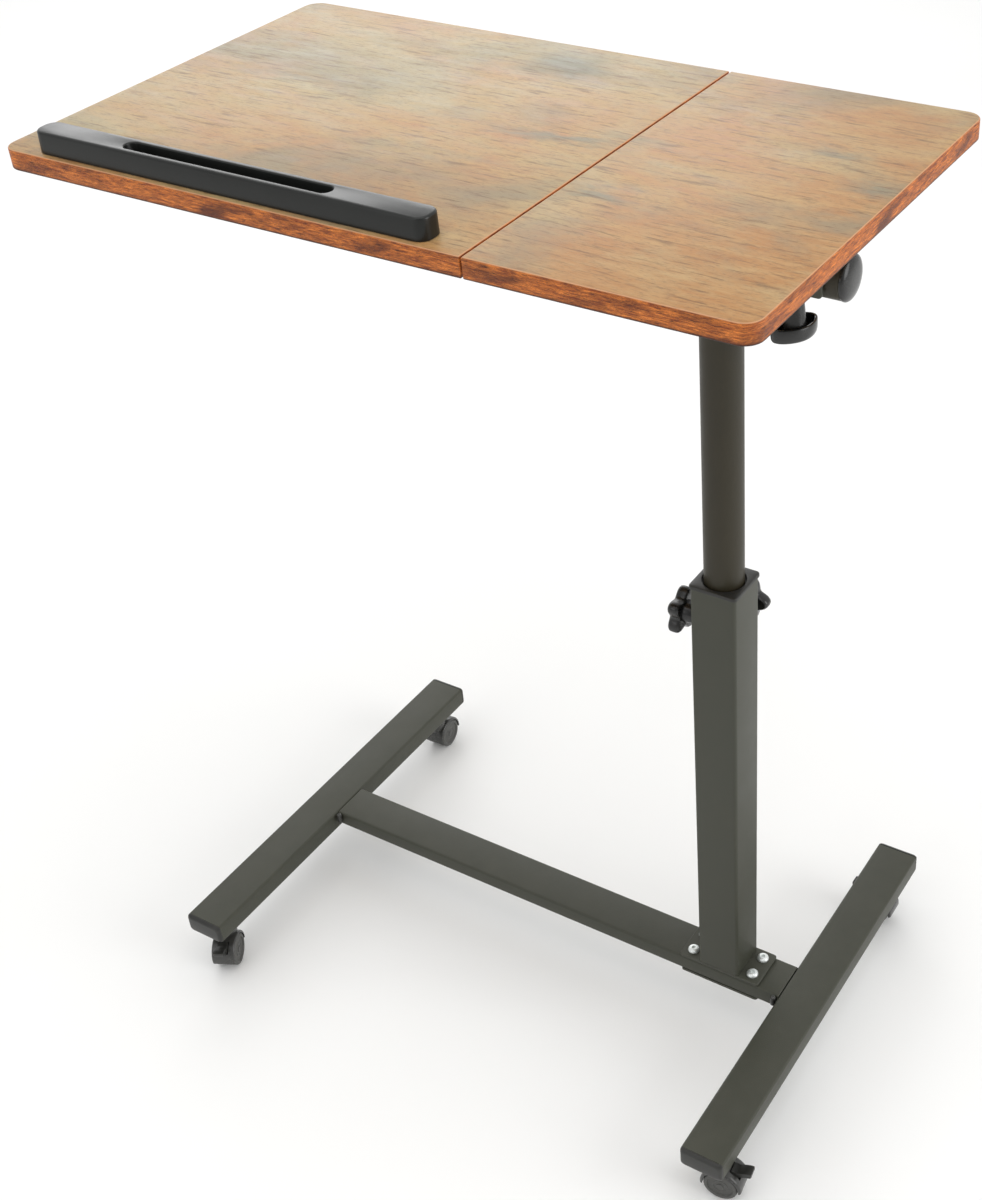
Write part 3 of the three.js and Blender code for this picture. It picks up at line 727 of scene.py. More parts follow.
def oval_ring(inset, height, count=64):
    """One level of the knob's cup: an oval that narrows to blunt points at its ends."""
    points = []
    for i in range(count):
        angle = 2 * math.pi * i / count
        x = (KNOB_LENGTH / 2 - inset) * math.cos(angle)
        y = (KNOB_WIDTH / 2 - inset) * math.sin(angle) * (1 - 0.2 * math.cos(angle) ** 2)
        points.append((x / 1000, y / 1000, height / 1000))
    return points


low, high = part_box("tilt_knob")
hub_top = (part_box("tilt_lock_boss")[0].z - low.z) * 1000 - 0.3
cup = [oval_ring(inset, height) for inset, height in (
    (4.2, 0.2), (2.0, 0.3), (0.9, 0.9), (0.3, 2.0), (0.0, 4.0), (0.0, CUP_HEIGHT - 1.0),
    (0.3, CUP_HEIGHT - 0.3), (0.9, CUP_HEIGHT), (1.6, CUP_HEIGHT), (2.2, CUP_HEIGHT - 0.4),
    (2.5, CUP_HEIGHT - 1.4), (2.8, 4.2), (3.6, 3.0), (5.0, 2.5))]
hub = turned_rings([
    (10.2, 2.5), (9.4, 3.0), (8.9, 4.2), (6.6, hub_top - 0.5), (6.1, hub_top), (1.5, hub_top)], 64)
knob = loft(cup + hub)
place = Vector((lock_axis.x, 0, low.z))
put(knob, Matrix.Rotation(KNOB_TURN, 4, "Z"), place)
finish("tilt_wing_knob", knob, gloss_plastic, "tilt_knob", "knob_plastic", "tilt_knob")
screw = put(clamp_screw(hub_top - 1, (high.z - low.z) * 1000), UPRIGHT, place)
finish("tilt_clamp_screw", screw, zinc_plate, "tilt_knob", "zinc_plate")


# ---- Tilt shaft ----
# A painted steel tube turns inside the head sleeve and runs under the whole large board, which
# it carries. A small black plug closes the end that can be seen, at the left.

low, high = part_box("tilt_shaft")
shaft_radius = (high.z - low.z) / 2
shaft = round_tube(shaft_radius, high.x - low.x, 0.0003, 48)
put(shaft, TO_X, (low.x, 0, head_axis.z))
finish("tilt_shaft_tube", shaft, frame_paint, "tilting_top", "frame_paint", "tilt_shaft")

SHAFT_PLUG = [
    (10.6, -10), (11.2, -9.4), (11.2, 0), (13.5, 0), (13.7, 0.3), (13.7, 1.4), (13.3, 2.4),
    (12.0, 3.8), (9.6, 4.9), (6.0, 5.7), (1.2, 6.0)]
low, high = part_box("shaft_end_cap")
cap = put(turned(SHAFT_PLUG, 40), TO_MINUS_X, (high.x - 0.010, 0, head_axis.z))
finish("shaft_plug", cap, satin_plastic, "tilting_top", "cap_plastic", "shaft_end_cap")


# ---- Board brackets ----
# Four hats of 2.5 mm steel strip carry the boards. The flat of each is screwed up into a board,
# and its two cheeks straddle the sleeve or the shaft, to which they are welded.

BRACKET_THICKNESS = 0.0025
BRACKETS = {
    "small_board_inner_bracket": ("swivel_mast", MAST_RADIUS),
    "small_board_outer_bracket": ("swivel_mast", MAST_RADIUS),
    "large_board_inner_bracket": ("tilting_top", shaft_radius),
    "large_board_outer_bracket": ("tilting_top", shaft_radius)}

for node, (body, radius) in BRACKETS.items():
    low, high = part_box(node)
    centre = middle((low, high))
    width = high.x - low.x
    bracket = flat_plate(width, high.y - low.y, BRACKET_THICKNESS)
    put(bracket, UPRIGHT, (centre.x, 0, high.z - BRACKET_THICKNESS))
    cheeks = []
    for side in (-1, 1):
        cheek = flat_plate(width, high.z - low.z - 0.0002, BRACKET_THICKNESS)
        near = side * (radius + WELD_GAP + BRACKET_THICKNESS / 2)
        place = (centre.x, near + BRACKET_THICKNESS / 2, centre.z - 0.0001)
        cheeks.append(put(cheek, TO_MINUS_Y, place))
    finish(f"{node}_steel", merged(bracket, *cheeks), frame_paint, body, "frame_paint", node)

# The screws: pan heads under the flats, four to a bracket, each dimpled where its cross is.
PAN_HEAD = [
    (1.9, 0.3), (3.4, 0.0), (3.8, -0.5), (3.6, -1.3), (2.7, -1.9), (1.5, -2.1), (1.2, -1.4),
    (0.3, -1.2)]
SCREW_SPACING = (0.016, 0.084)
for body, inner, outer in (
        ("swivel_mast", "small_board_inner_bracket", "small_board_outer_bracket"),
        ("tilting_top", "large_board_inner_bracket", "large_board_outer_bracket")):
    start = middle(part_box(inner))
    step = middle(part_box(outer)).x - start.x
    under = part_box(inner)[1].z - BRACKET_THICKNESS
    grow(f"{body}_board_screws", turned(PAN_HEAD, 20), fixings_on_plates, {
        "Spacing Along": SCREW_SPACING[0], "Spacing Across": SCREW_SPACING[1],
        "First Plate": (start.x, 0, under), "Plate Step": (step, 0, 0),
        "Plates": 2, "Seed": 11, "Finish": zinc_plate}, body, "zinc_plate")


# ---- Weld beads ----
# Thin runs of weld, painted over, close the joints of the steelwork: the column on its foot, the
# crossbar to the legs, the mast and the bosses, and the bracket cheeks along the tubes.

BEAD_SIZE = 0.0011
COLUMN_WELD_SIDE = 0.0385
BOSS_WELD_RADIUS = 0.0082

# Lays overlapping ripples along the edges it is given, as a welder's torch leaves them.
ripples_along_joint, given, made = start_tree("ripples_along_joint", {
    "Pitch": "NodeSocketFloat", "Bead Radius": "NodeSocketFloat",
    "Seed": "NodeSocketInt", "Finish": "NodeSocketMaterial"})
run = add_node(ripples_along_joint, "GeometryNodeMeshToCurve", {"Mesh": given["Geometry"]})
run = add_node(ripples_along_joint, "GeometryNodeResampleCurve", {
    "Curve": run.outputs["Curve"], "Length": given["Pitch"]}, mode="LENGTH")
points = add_node(ripples_along_joint, "GeometryNodeCurveToPoints", {
    "Curve": run.outputs["Curve"]}, mode="EVALUATED")
ripple = add_node(ripples_along_joint, "GeometryNodeMeshIcoSphere", {
    "Radius": given["Bead Radius"], "Subdivisions": 2})
ripple = add_node(ripples_along_joint, "GeometryNodeTransform", {
    "Geometry": ripple.outputs["Mesh"], "Scale": (1.0, 1.0, 0.62)})
swell = add_node(ripples_along_joint, "FunctionNodeRandomValue", {
    2: 0.85, 3: 1.1, "Seed": given["Seed"]}, data_type="FLOAT")
bead = stamp(ripples_along_joint, points.outputs["Points"], ripple.outputs["Geometry"], {
    "Rotation": points.outputs["Rotation"], "Scale": swell.outputs[1]}, given["Finish"])
ripples_along_joint.links.new(bead, made["Geometry"])


def runs(*lines):
    """Edges along each line of points, for the ripples to follow."""
    skin = bmesh.new()
    for line in lines:
        verts = [skin.verts.new(point) for point in line]
        for first, second in zip(verts, verts[1:]):
            skin.edges.new((first, second))
    return skin


def closed(points):
    return list(points) + [points[0]]


def moved(points, offset):
    return [tuple(Vector(point) + Vector(offset)) for point in points]


plate_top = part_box("column_foot_plate")[1].z + 0.0004
square = rounded_rectangle(COLUMN_WELD_SIDE, COLUMN_WELD_SIDE, COLUMN_CORNER, plate_top)
base_lines = [closed(moved(square, mast_axis))]
low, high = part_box("crossbar")
for x in (low.x, high.x):
    for y in (low.y, high.y):
        base_lines.append([(x, y, low.z + 0.001), (x, y, high.z - 0.003)])
    base_lines.append([(x, low.y + 0.001, low.z), (x, high.y - 0.001, low.z)])
for place, turn in (("side", TO_MINUS_X), ("rear", TO_Y)):
    low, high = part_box(f"{place}_clamp_boss")
    centre = middle((low, high))
    centre = Vector((high.x, 0, centre.z)) if place == "side" else Vector((centre.x, low.y, centre.z))
    circle = [tuple(turn @ Vector(point) + centre) for point in ring(BOSS_WELD_RADIUS, 0.0002, 32)]
    base_lines.append(closed(circle))
grow("base_welds", runs(*base_lines), ripples_along_joint, {
    "Pitch": BEAD_SIZE, "Bead Radius": BEAD_SIZE, "Seed": 3, "Finish": frame_paint},
    "base", "frame_paint")

for body, tube in (("swivel_mast", MAST_RADIUS), ("tilting_top", shaft_radius)):
    lines = []
    if body == "swivel_mast":
        lines.append(closed(moved(saddle_ring(MAST_RADIUS + 0.0001), mast_axis)))
        lines.append(closed(moved(saddle_ring(BOSS_RADIUS / 1000 + 0.0002, 32), lock_axis)))
    for node, (rider, radius) in BRACKETS.items():
        if rider == body:
            low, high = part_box(node)
            for side in (-1, 1):
                y = side * (radius + WELD_GAP / 2)
                level = head_axis.z + 0.0045
                lines.append([(low.x + 0.004, y, level), (high.x - 0.004, y, level)])
    grow(f"{body}_welds", runs(*lines), ripples_along_joint, {
        "Pitch": BEAD_SIZE, "Bead Radius": BEAD_SIZE, "Seed": 8, "Finish": frame_paint},
        body, "frame_paint")


# ---- Boards ----
# Two boards of 15 mm chipboard, faced on both sides with a rustic brown wood-effect melamine. A
# red-brown edge band with a coarse dark grain is glued round each, trimmed to an arris; the pale line
# along the band's top is partly the trimmed edge and partly a painted highlight on the rounded arris.

BOARD_CORNER = 0.013
SLIT_CORNER = 0.0006
BAND_ARRIS = 0.0009

# The printed wood, drawn out along the first coordinate: thin wandering streaks, dark pores,
# broad changes of warmth, and clouds where the print looks smoked.
printed_grain, given, made = start_group(
    "printed_grain", {"Vector": (0.0, 0.0, 0.0), "Streaks": 60.0, "Clouds": 5.0},
    ["Streak", "Line", "Pore", "Cloud", "Warmth"])


def stretched(tree, vector, along, shift=(0.0, 0.0, 0.0)):
    """A pattern coordinate, drawn out along X by so many times."""
    return add_node(tree, "ShaderNodeMapping", {
        "Vector": vector, "Scale": (1 / along, 1.0, 1.0), "Location": shift}).outputs["Vector"]


source = given.outputs["Vector"]
fine = given.outputs["Streaks"]
wander = add_node(printed_grain, "ShaderNodeTexNoise", {
    "Vector": stretched(printed_grain, source, 3.0), "Scale": multiply(printed_grain, fine, 0.12),
    "Detail": 2.0})
reach = add_node(printed_grain, "ShaderNodeMath", {0: 1.6, 1: fine}, operation="DIVIDE").outputs[0]
bent = vector_math(printed_grain, "SCALE", {0: wander.outputs["Color"], "Scale": reach})
bent = vector_math(printed_grain, "ADD", {0: source, 1: bent})
clouds = given.outputs["Clouds"]
for label, vector, along, shift, base, times, quality, low, high in (
        ("Streak", bent, 4.5, (0.0, 0.0, 0.0), fine, 1.0, (8.0, 0.74), 0.36, 0.64),
        ("Line", bent, 9.0, (0.4, 0.2, 0.0), fine, 3.2, (5.0, 0.65), 0.54, 0.66),
        ("Pore", bent, 3.5, (0.3, 0.1, 0.0), fine, 7.0, (3.0, 0.7), 0.52, 0.66),
        ("Cloud", source, 1.8, (0.7, 0.2, 0.0), clouds, 1.0, (8.0, 0.66, 0.5), 0.48, 0.66),
        ("Warmth", source, 1.6, (0.1, 0.9, 0.0), clouds, 1.3, (7.0, 0.66, 0.4), 0.38, 0.60)):
    mask = noise(printed_grain, stretched(printed_grain, vector, along, shift),
                 multiply(printed_grain, base, times), *quality)
    printed_grain.links.new(remap(printed_grain, mask, low, high), made.inputs[label])

# The smoked places of this print: centre, half length and half width, and strength.
SMOKED = [
    (-0.015, 0.135, 0.045, 0.034, 0.9), (-0.215, 0.068, 0.055, 0.022, 0.55),
    (-0.205, 0.024, 0.060, 0.012, 0.6), (0.045, 0.010, 0.050, 0.010, 0.8),
    (0.235, 0.070, 0.022, 0.010, 0.7), (0.290, 0.028, 0.030, 0.016, 0.8),
    (0.285, -0.030, 0.030, 0.018, 0.6), (0.130, -0.060, 0.028, 0.012, 0.8),
    (-0.010, -0.082, 0.050, 0.020, 0.5), (-0.160, 0.125, 0.050, 0.014, 0.35),
    (0.020, 0.045, 0.030, 0.016, 0.4), (0.105, 0.030, 0.022, 0.012, 0.5)]

wood_face, tree, shader = start_material("rustic_brown_melamine", Specular_IOR_Level=0.32)
place = object_place(tree)
grain = use_group(tree, printed_grain, Vector=place, Streaks=95.0, Clouds=9.0)
torn = add_node(tree, "ShaderNodeTexNoise", {
    "Vector": stretched(tree, place, 2.5), "Scale": 38.0, "Detail": 6.0, "Roughness": 0.65})
torn = vector_math(tree, "SUBTRACT", {0: torn.outputs["Color"], 1: (0.5, 0.5, 0.5)})
torn = vector_math(tree, "SCALE", {0: torn, "Scale": 0.075})
torn = vector_math(tree, "ADD", {0: place, 1: torn})
smoke = multiply(tree, grain["Cloud"], 0.60)
for x, y, half_length, half_width, strength in SMOKED:
    local = add_node(tree, "ShaderNodeMapping", {
        "Vector": torn, "Location": (-x / half_length, -y / half_width, 0),
        "Scale": (1 / half_length, 1 / half_width, 0)}).outputs["Vector"]
    distance = vector_math(tree, "LENGTH", {0: local}, "Value")
    smoke = add_node(tree, "ShaderNodeMath", {
        0: smoke, 1: remap(tree, distance, 1.35, 0.25, 0.0, strength)}, operation="MAXIMUM").outputs[0]
# The print runs from a greyer, cooler tan at the back left to warm orange at the front right. This is
# partly the print's own tone and partly painted sheen where the light behind on the left shines off the
# top.
across = vector_math(tree, "DOT_PRODUCT", {0: place, 1: (1.1, -1.3, 0.0)}, "Value")
warmth_with_painted_sheen = remap(tree, across, -0.45, 0.45, -0.15, 0.45)
warmth_with_painted_sheen = add_node(tree, "ShaderNodeMath", {
    0: warmth_with_painted_sheen, 1: multiply(tree, grain["Warmth"], 0.85)}, operation="ADD", use_clamp=True).outputs[0]
colour = mix_colour(tree, warmth_with_painted_sheen, (0.395, 0.31, 0.155), (0.395, 0.175, 0.050))
colour = mix_colour(tree, multiply(tree, grain["Streak"], 0.50), colour, (0.56, 0.395, 0.19))
colour = mix_colour(tree, multiply(tree, smoke, 0.92), colour, (0.185, 0.19, 0.14))
colour = mix_colour(tree, multiply(tree, grain["Line"], 0.62), colour, (0.14, 0.070, 0.030))
colour = mix_colour(tree, multiply(tree, grain["Pore"], 0.38), colour, (0.17, 0.10, 0.05))
dress(tree, shader, colour, grain["Streak"], (0.36, 0.50), grain["Pore"], 0.00004)

edge_band, tree, shader = start_material("red_brown_edge_band", Specular_IOR_Level=0.35)
band_map = add_node(tree, "ShaderNodeUVMap", uv_map="band").outputs["UV"]
closer = add_node(tree, "ShaderNodeMapping", {
    "Vector": band_map, "Scale": (0.55, 1.0, 1.0)}).outputs["Vector"]
grain = use_group(tree, printed_grain, Vector=closer, Streaks=640.0, Clouds=80.0)
colour = mix_colour(tree, grain["Streak"], (0.20, 0.030, 0.005), (0.88, 0.27, 0.045))
colour = mix_colour(tree, multiply(tree, grain["Cloud"], 0.80), colour, (0.085, 0.015, 0.004))
colour = mix_colour(tree, grain["Line"], colour, (0.014, 0.004, 0.002))
colour = mix_colour(tree, multiply(tree, grain["Pore"], 0.8), colour, (0.030, 0.009, 0.005))
level = add_node(tree, "ShaderNodeSeparateXYZ", {0: band_map}).outputs["Y"]
# Along the band: a dark line at its bottom edge, and at its top a pale line that is partly the trimmed
# edge and partly a painted highlight on the arris.
colour = mix_colour(tree, remap(tree, level, 0.0020, 0.0006), colour, (0.035, 0.010, 0.005))
colour = mix_colour(tree, remap(tree, level, 0.0144, 0.0148), colour, (0.58, 0.30, 0.15))
dress(tree, shader, colour, grain["Streak"], (0.42, 0.55), grain["Pore"], 0.00008)


def board_outline(length, depth, outer, inset):
    """A board's outline with two rounded corners at its outer end, pulled in by inset."""
    half_x = length / 2 - inset
    half_y = depth / 2 - inset
    radius = BOARD_CORNER - inset
    nick = max(SLIT_CORNER - inset / 2, 0.0001)
    points = []
    for turn, (side_x, side_y) in enumerate(((1, 1), (-1, 1), (-1, -1), (1, -1))):
        bend = radius if side_x == outer else nick
        for step in range(9):
            angle = (turn + step / 8) * math.pi / 2
            x = side_x * (half_x - bend) + bend * math.cos(angle)
            y = side_y * (half_y - bend) + bend * math.sin(angle)
            points.append((x, y))
    return points


def build_board(node, body, outer):
    low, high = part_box(node)
    centre = middle((low, high))
    thickness = high.z - low.z
    arris = [(BAND_ARRIS * (1 - math.cos(math.radians(a))), BAND_ARRIS * (1 - math.sin(math.radians(a))))
             for a in (0, 30, 60, 90)]
    levels = arris + [(thickness - up, inset) for up, inset in reversed(arris)]
    rings = [[(x + centre.x, y + centre.y, low.z + up)
              for x, y in board_outline(high.x - low.x, high.y - low.y, outer, inset)]
             for up, inset in levels]
    skin = loft(rings)
    uv = skin.loops.layers.uv.new("band")
    reach = [0.0]
    rim = rings[len(rings) // 2]
    for first, second in zip(rim, rim[1:] + rim[:1]):
        reach.append(reach[-1] + (Vector(second) - Vector(first)).length)
    skin.verts.ensure_lookup_table()
    count = len(rim)
    for face in skin.faces:
        is_flat = len(face.verts) == count
        face.material_index = 0 if is_flat else 1
        along = [loop.vert.index % count for loop in face.loops]
        wraps = 0 in along and count - 1 in along
        for loop, step in zip(face.loops, along):
            turned_round = count if wraps and step == 0 else step
            loop[uv].uv = (reach[turned_round], loop.vert.co.z - low.z)
    piece = finish(f"{node}_panel", skin, wood_face, body, "board_laminate", node, crease=50)
    piece.data.materials.append(edge_band)
    return piece


build_board("large_board", "tilting_top", -1)
build_board("small_board", "swivel_mast", 1)


# ---- Pen ledge ----
# A moulded black ledge stops a book at the user's edge of the large board. It is a solid bar with
# softly rounded ends and arrises, screwed from below, with a round-ended pen groove in its top.

LEDGE_CORNER = 0.009
LEDGE_ARRIS = 0.0018
GROOVE_LENGTH = 0.178
GROOVE_WIDTH = 0.0115
GROOVE_DEPTH = 0.008

ledge_plastic = skinned(
    "black_ledge_moulding", 1300.0, 0.00005, ((0.005, 0.006, 0.005), (0.008, 0.009, 0.008)),
    (0.27, 0.38), edge_wear_and_highlight=(0.0010, 220.0, 0.4, (0.07, 0.07, 0.066)),
    dust=(60.0, 0.03, (0.35, 0.36, 0.33)),
    Specular_IOR_Level=0.36, Coat_Weight=0.1, Coat_Roughness=0.12)

low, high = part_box("pen_ledge")
length = high.x - low.x
width = high.y - low.y
height = high.z - low.z
levels = [(0.0, 0.0003), (0.0003, 0.0), (height - LEDGE_ARRIS, 0.0003)]
for degrees in (30, 60, 90):
    angle = math.radians(degrees)
    levels.append((height - LEDGE_ARRIS * (1 - math.sin(angle)),
                   0.0003 + LEDGE_ARRIS * (1 - math.cos(angle))))
rings = [rounded_rectangle(length - 2 * inset, width - 2 * inset, LEDGE_CORNER - inset, up, arc=8)
         for up, inset in levels]
for depth, inset in (
        (0.0, -0.0011), (0.0001, -0.0006), (0.0005, -0.0002), (0.0011, 0.0),
        (GROOVE_DEPTH - 0.002, 0.0002), (GROOVE_DEPTH - 0.0006, 0.0008), (GROOVE_DEPTH, 0.0022)):
    rings.append(rounded_rectangle(GROOVE_LENGTH - 2 * inset, GROOVE_WIDTH - 2 * inset,
                                   GROOVE_WIDTH / 2 - inset - 0.0001, height - depth, arc=8))
ledge = put(loft(rings), UPRIGHT, foot((low, high)))
finish("pen_ledge_moulding", ledge, ledge_plastic, "tilting_top", "ledge_plastic", "pen_ledge")


# ---- Castors ----
# Four twin-wheel castors of dark nylon turn on plated studs under the legs. A hood arches over
# each pair of wheels; three of the hoods have a brake pedal, a stepped tongue in a slot.

# Which way each castor has swung, in degrees; the rest is in millimetres.
CASTORS = {"front_left": -64, "rear_left": 94, "front_right": 8, "rear_right": 180}
TRAIL = 7.5
WHEEL_RADIUS = 15.5
WHEEL_WIDTH = 7.8
WEB_HALF = 3.4
HOOD_INNER = 16.4
HOOD_OUTER = 18.6
HOOD_SHOULDER = 2.0
HOOD_HALF = WEB_HALF + 0.3 + WHEEL_WIDTH
PEDAL_HALF = 5.0

hood_nylon = skinned(
    "dark_castor_nylon", 1500.0, 0.00006, ((0.026, 0.026, 0.024), (0.042, 0.042, 0.039)),
    (0.22, 0.34), edge_wear_and_highlight=(0.0008, 320.0, 0.6, (0.13, 0.13, 0.12)),
    dust=(120.0, 0.12, (0.30, 0.29, 0.26)), Specular_IOR_Level=0.55, Coat_Weight=0.2)
wheel_nylon = skinned(
    "grey_black_wheel_nylon", 1500.0, 0.00008, ((0.062, 0.062, 0.058), (0.090, 0.090, 0.084)),
    (0.45, 0.62), edge_wear_and_highlight=(0.0010, 320.0, 0.5, (0.20, 0.20, 0.19)),
    dust=(120.0, 0.2, (0.30, 0.29, 0.26)), Specular_IOR_Level=0.4)


def arch_section(degrees):
    """The hood's cross-section at one angle round the axle: a flat band with soft shoulders."""
    bend = HOOD_OUTER - HOOD_SHOULDER
    section = [(HOOD_INNER, -HOOD_HALF), (bend, -HOOD_HALF)]
    for step in range(1, 5):
        angle = step / 4 * math.pi / 2
        section.append((bend + HOOD_SHOULDER * math.sin(angle),
                        -HOOD_HALF + HOOD_SHOULDER * (1 - math.cos(angle))))
    section += [(radius, -across) for radius, across in reversed(section)]
    angle = math.radians(degrees)
    return [((TRAIL + radius * math.cos(angle)) / 1000, across / 1000,
             (WHEEL_RADIUS + radius * math.sin(angle)) / 1000) for radius, across in section]


def across_axle(outline, half_width, soft=0.25):
    """A slab across the castor: an outline in its X-Z plane about the axle, edges broken."""
    middle_x = sum(x for x, _ in outline) / len(outline)
    middle_z = sum(z for _, z in outline) / len(outline)
    rings = []
    for across, shrink in (
            (-half_width, soft), (-half_width + soft, 0), (half_width - soft, 0), (half_width, soft)):
        rings.append([])
        for x, z in outline:
            reach = math.hypot(x - middle_x, z - middle_z)
            share = (reach - shrink) / reach
            rings[-1].append((
                (TRAIL + middle_x + (x - middle_x) * share) / 1000, across / 1000,
                (WHEEL_RADIUS + middle_z + (z - middle_z) * share) / 1000))
    return loft(rings)


def polar(radius, degrees):
    return (radius * math.cos(math.radians(degrees)), radius * math.sin(math.radians(degrees)))


def carved(skin, *steps):
    """Joins skins to a skin or cuts them out of it: steps are (operation, skin) pairs."""
    body = add_object("carved", mesh_from("carved", skin))
    tools = []
    for operation, tool in steps:
        tools.append(add_object("tool", mesh_from("tool", tool)))
        modifier = body.modifiers.new(operation, "BOOLEAN")
        modifier.operation = operation
        modifier.solver = "EXACT"
        modifier.object = tools[-1]
    evaluated = body.evaluated_get(bpy.context.evaluated_depsgraph_get())
    mesh = bpy.data.meshes.new_from_object(evaluated)
    result = bmesh.new()
    result.from_mesh(mesh)
    for thing in [body, *tools]:
        bpy.data.objects.remove(thing)
    return result


def hood(has_pedal):
    """One hood about its swivel axis: arch, web between the wheels, and swivel barrel."""
    arch = loft([arch_section(-6 + 192 * step / 32) for step in range(33)])
    web_line = [polar(HOOD_OUTER - 0.5, -5 + 190 * step / 24) for step in range(25)]
    web_line += [polar(7.0, 197 + 146 * step / 10) for step in range(11)]
    web = across_axle(web_line, WEB_HALF)
    barrel = turned([
        (8.4, 24), (9.2, 26), (9.5, 34), (9.5, 46.4), (8.9, 47.2), (4.5, 47.2), (4.5, 44)], 32)
    steps = [("UNION", web), ("UNION", barrel)]
    for side in (-1, 1):
        room = turned([(HOOD_INNER, 0), (HOOD_INNER, 20)], 48)
        room.transform(Matrix.Translation((TRAIL / 1000, side * WEB_HALF / 1000, WHEEL_RADIUS / 1000))
                       @ (TO_Y if side > 0 else TO_MINUS_Y))
        steps.append(("DIFFERENCE", room))
    if has_pedal:
        slot_line = [polar(15.6, 30 + 39 * step / 8) for step in range(9)]
        slot_line += [polar(27.0, 69 - 39 * step / 8) for step in range(9)]
        steps.append(("DIFFERENCE", across_axle(slot_line, PEDAL_HALF + 0.5, 0.05)))
    return carved(arch, *steps)


WHEEL_PROFILE = [
    (0.4, 0.2), (2.9, 0.2), (3.3, 0.5), (3.5, 1.1), (6.0, 1.3), (6.2, 0.9), (6.9, 0.9), (7.1, 1.3),
    (11.6, 1.4), (12.0, 0.5), (12.5, 0.15), (14.0, 0.15), (14.8, 0.45), (15.3, 1.2), (15.5, 2.6),
    (15.5, 5.4), (15.3, 6.8), (14.7, 7.6), (14.0, 7.8), (12.6, 7.8), (12.2, 5.0), (5.4, 5.0),
    (5.0, 7.8), (2.8, 7.8), (2.8, 3.0), (0.4, 3.0)]
PEDAL_LINE = [
    polar(16.9, 66), polar(16.95, 56), polar(17.1, 46), polar(19.4, 41), polar(22.5, 38), polar(30, 33),
    polar(31.4, 34.5), polar(33.2, 39), polar(31.5, 42), polar(28, 46), polar(24.0, 51), polar(21.6, 55),
    polar(20.6, 61), polar(20.2, 66)]
WASHER = [(4.0, 0), (8.7, 0), (9.0, 0.3), (9.0, 1.9), (8.7, 2.2), (4.0, 2.2)]

hood_shapes = {True: hood(True), False: hood(False)}
leg_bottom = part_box("left_leg")[0].z * 1000
for place, heading in CASTORS.items():
    swivel = middle(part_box(f"{place}_castor_stud"))
    swivel.z = 0
    turn = Matrix.Rotation(math.radians(heading), 4, "Z")
    has_pedal = f"{place}_castor_pedal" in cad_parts

    cover = put(hood_shapes[has_pedal].copy(), turn, swivel)
    finish(f"{place}_hood", cover, hood_nylon, f"{place}_castor", "castor_nylon", f"{place}_castor_hood")

    low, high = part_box(f"{place}_castor_stud")
    stud = merged(
        turned([(3.4, 0), (4.0, 0.6), (4.0, (high.z - low.z) * 1000)], 24),
        put(turned(WASHER, 32), UPRIGHT, (0, 0, (leg_bottom - 2.5) / 1000 - low.z)))
    put(stud, UPRIGHT, (swivel.x, swivel.y, low.z))
    finish(f"{place}_stud", stud, zinc_plate, "base", "zinc_plate", f"{place}_castor_stud")

    for hand, side in (("left", 1), ("right", -1)):
        wheel = turned(WHEEL_PROFILE, 48)
        face = Vector((TRAIL, side * HOOD_HALF, WHEEL_RADIUS)) / 1000
        put(wheel, TO_MINUS_Y if side > 0 else TO_Y, face)
        put(wheel, turn, swivel)
        node = f"{place}_castor_{hand}_wheel"
        finish(f"{place}_{hand}_moulded_wheel", wheel, wheel_nylon, f"{place}_{hand}_wheel",
               "wheel_plastic", node)

    recolour(f"{place}_castor_axle", zinc_plate)
    if has_pedal:
        pedal = put(across_axle(PEDAL_LINE, PEDAL_HALF, 0.5), turn, swivel)
        node = f"{place}_castor_pedal"
        finish(f"{place}_brake_pedal", pedal, satin_plastic, f"{place}_pedal", "pedal_plastic", node)
for shape in hood_shapes.values():
    shape.free()


# ---- Floor, light and camera ----
# A pale plain floor in a bright room. Soft studio lights hang above, stand behind on the left,
# where one shines off the top, and on the right, and a weak one stands in front.

floor_paint, tree, shader = start_material("pale_floor")
place = object_place(tree)
shade = noise(tree, place, 3.0, 3.0)
colour = mix_colour(tree, shade, (0.90, 0.90, 0.89), (0.93, 0.93, 0.92))
tree.links.new(colour, shader.inputs["Base Color"])
tree.links.new(remap(tree, shade, 0.0, 1.0, 0.75, 0.85), shader.inputs["Roughness"])
ground = bmesh.new()
bmesh.ops.create_grid(ground, x_segments=2, y_segments=2, size=14)
floor = add_object("floor", mesh_from("floor", ground))
floor.data.materials.append(floor_paint)
floor.location = (0, 0, -0.0005)

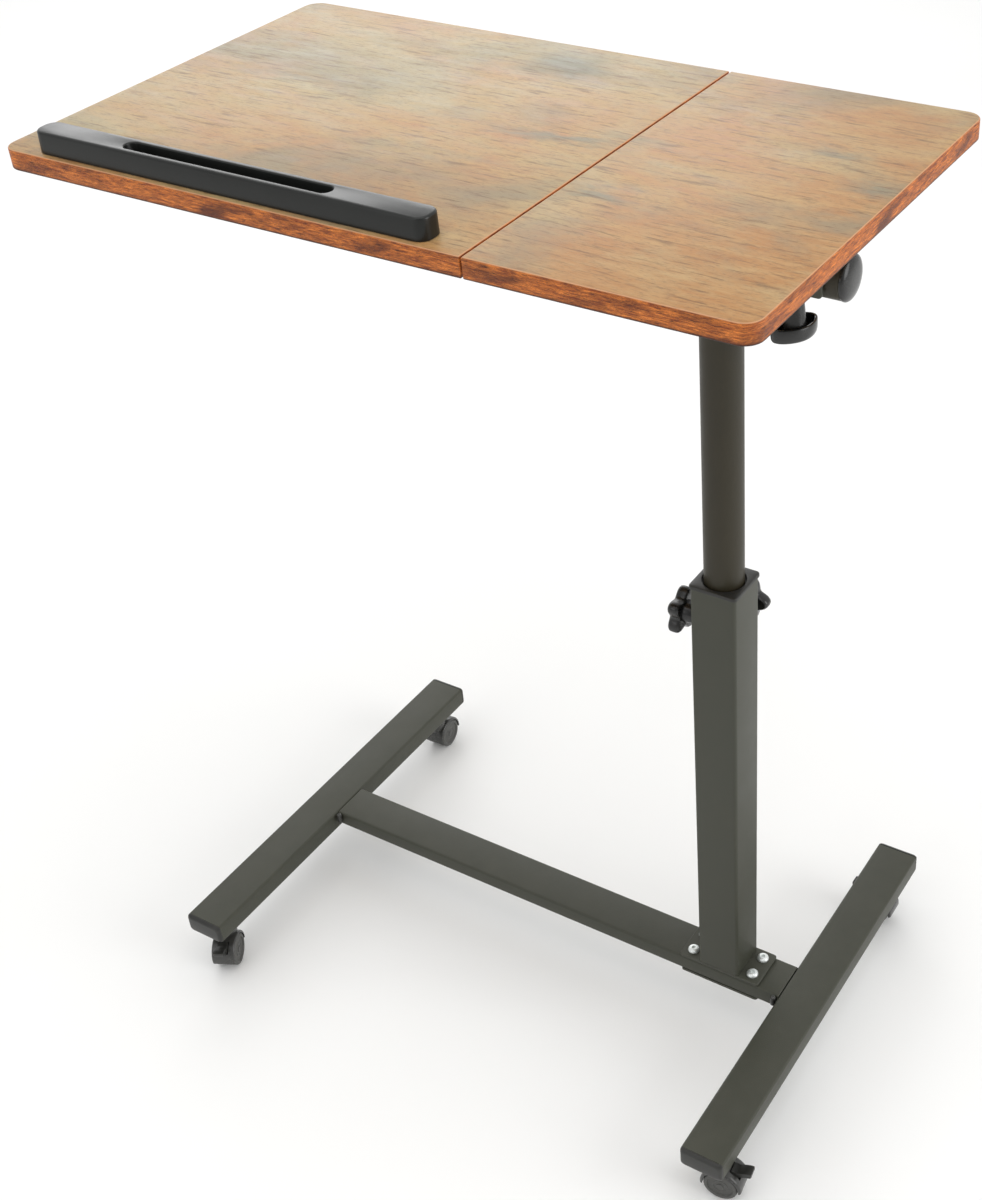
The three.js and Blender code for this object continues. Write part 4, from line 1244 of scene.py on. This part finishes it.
# The room is brightest behind the table on the left, and dimmer on the user's side.
world = bpy.data.worlds.new("white_room")
world.use_nodes = True
room = world.node_tree
outward = add_node(room, "ShaderNodeTexCoord").outputs["Generated"]
toward = vector_math(room, "DOT_PRODUCT", {0: outward, 1: (-0.35, 0.80, 0.25)}, "Value")
room.links.new(remap(room, toward, -0.8, 0.8, 0.50, 0.95), room.nodes["Background"].inputs["Strength"])
room.nodes["Background"].inputs["Color"].default_value = (1.0, 1.0, 1.0, 1)
bpy.context.scene.world = world
bpy.context.scene.view_settings.view_transform = "Standard"

# Each light: where it stands, what it faces, its width and height, and its watts.
LIGHTS = {
    "top_light": ((0.2, -0.6, 3.4), (0, 0, 0.6), (3.0, 3.0), 30),
    "right_light": ((3.2, 0.4, 1.4), (0.2, 0, 0.4), (1.8, 2.2), 40),
    "back_left_light": ((-2.3, 2.7, 1.9), (-0.1, 0, 0.8), (2.4, 1.6), 24),
    "front_light": ((-0.8, -3.2, 1.8), (0, 0, 0.6), (2.4, 1.8), 14)}
for name, (place, target, size, power) in LIGHTS.items():
    lamp = bpy.data.lights.new(name, "AREA")
    lamp.shape = "RECTANGLE"
    lamp.size, lamp.size_y = size
    lamp.energy = power
    light = add_object(name, lamp)
    light.location = place
    light.rotation_euler = (Vector(target) - Vector(place)).to_track_quat("-Z", "Y").to_euler()

FOCAL_LENGTH = 1714.05
YAW, PITCH, ROLL = 0.55374, -0.64430, -0.04356
PRINCIPAL_X = 650.0
PICTURE_HEIGHT = 1200
PICTURE_CENTRE_X = 491
SENSOR_WIDTH = 36
forward = Vector((-math.sin(YAW) * math.cos(PITCH), math.cos(YAW) * math.cos(PITCH), math.sin(PITCH)))
right = forward.cross(Vector((0, 0, 1))).normalized()
up = right.cross(forward)
tilted_right = right * math.cos(ROLL) + up * math.sin(ROLL)
tilted_up = up * math.cos(ROLL) - right * math.sin(ROLL)
lens = bpy.data.cameras.new("view_camera")
lens.sensor_width = SENSOR_WIDTH
lens.lens = FOCAL_LENGTH / PICTURE_HEIGHT * SENSOR_WIDTH
lens.shift_x = (PICTURE_CENTRE_X - PRINCIPAL_X) / PICTURE_HEIGHT
lens.clip_start = 0.05
camera = add_object("view_camera", lens)
axes = Matrix((tilted_right, tilted_up, -forward)).transposed()
camera.matrix_world = Matrix.Translation((0.69504, -0.93788, 1.28707)) @ axes.to_4x4()
bpy.context.scene.camera = camera
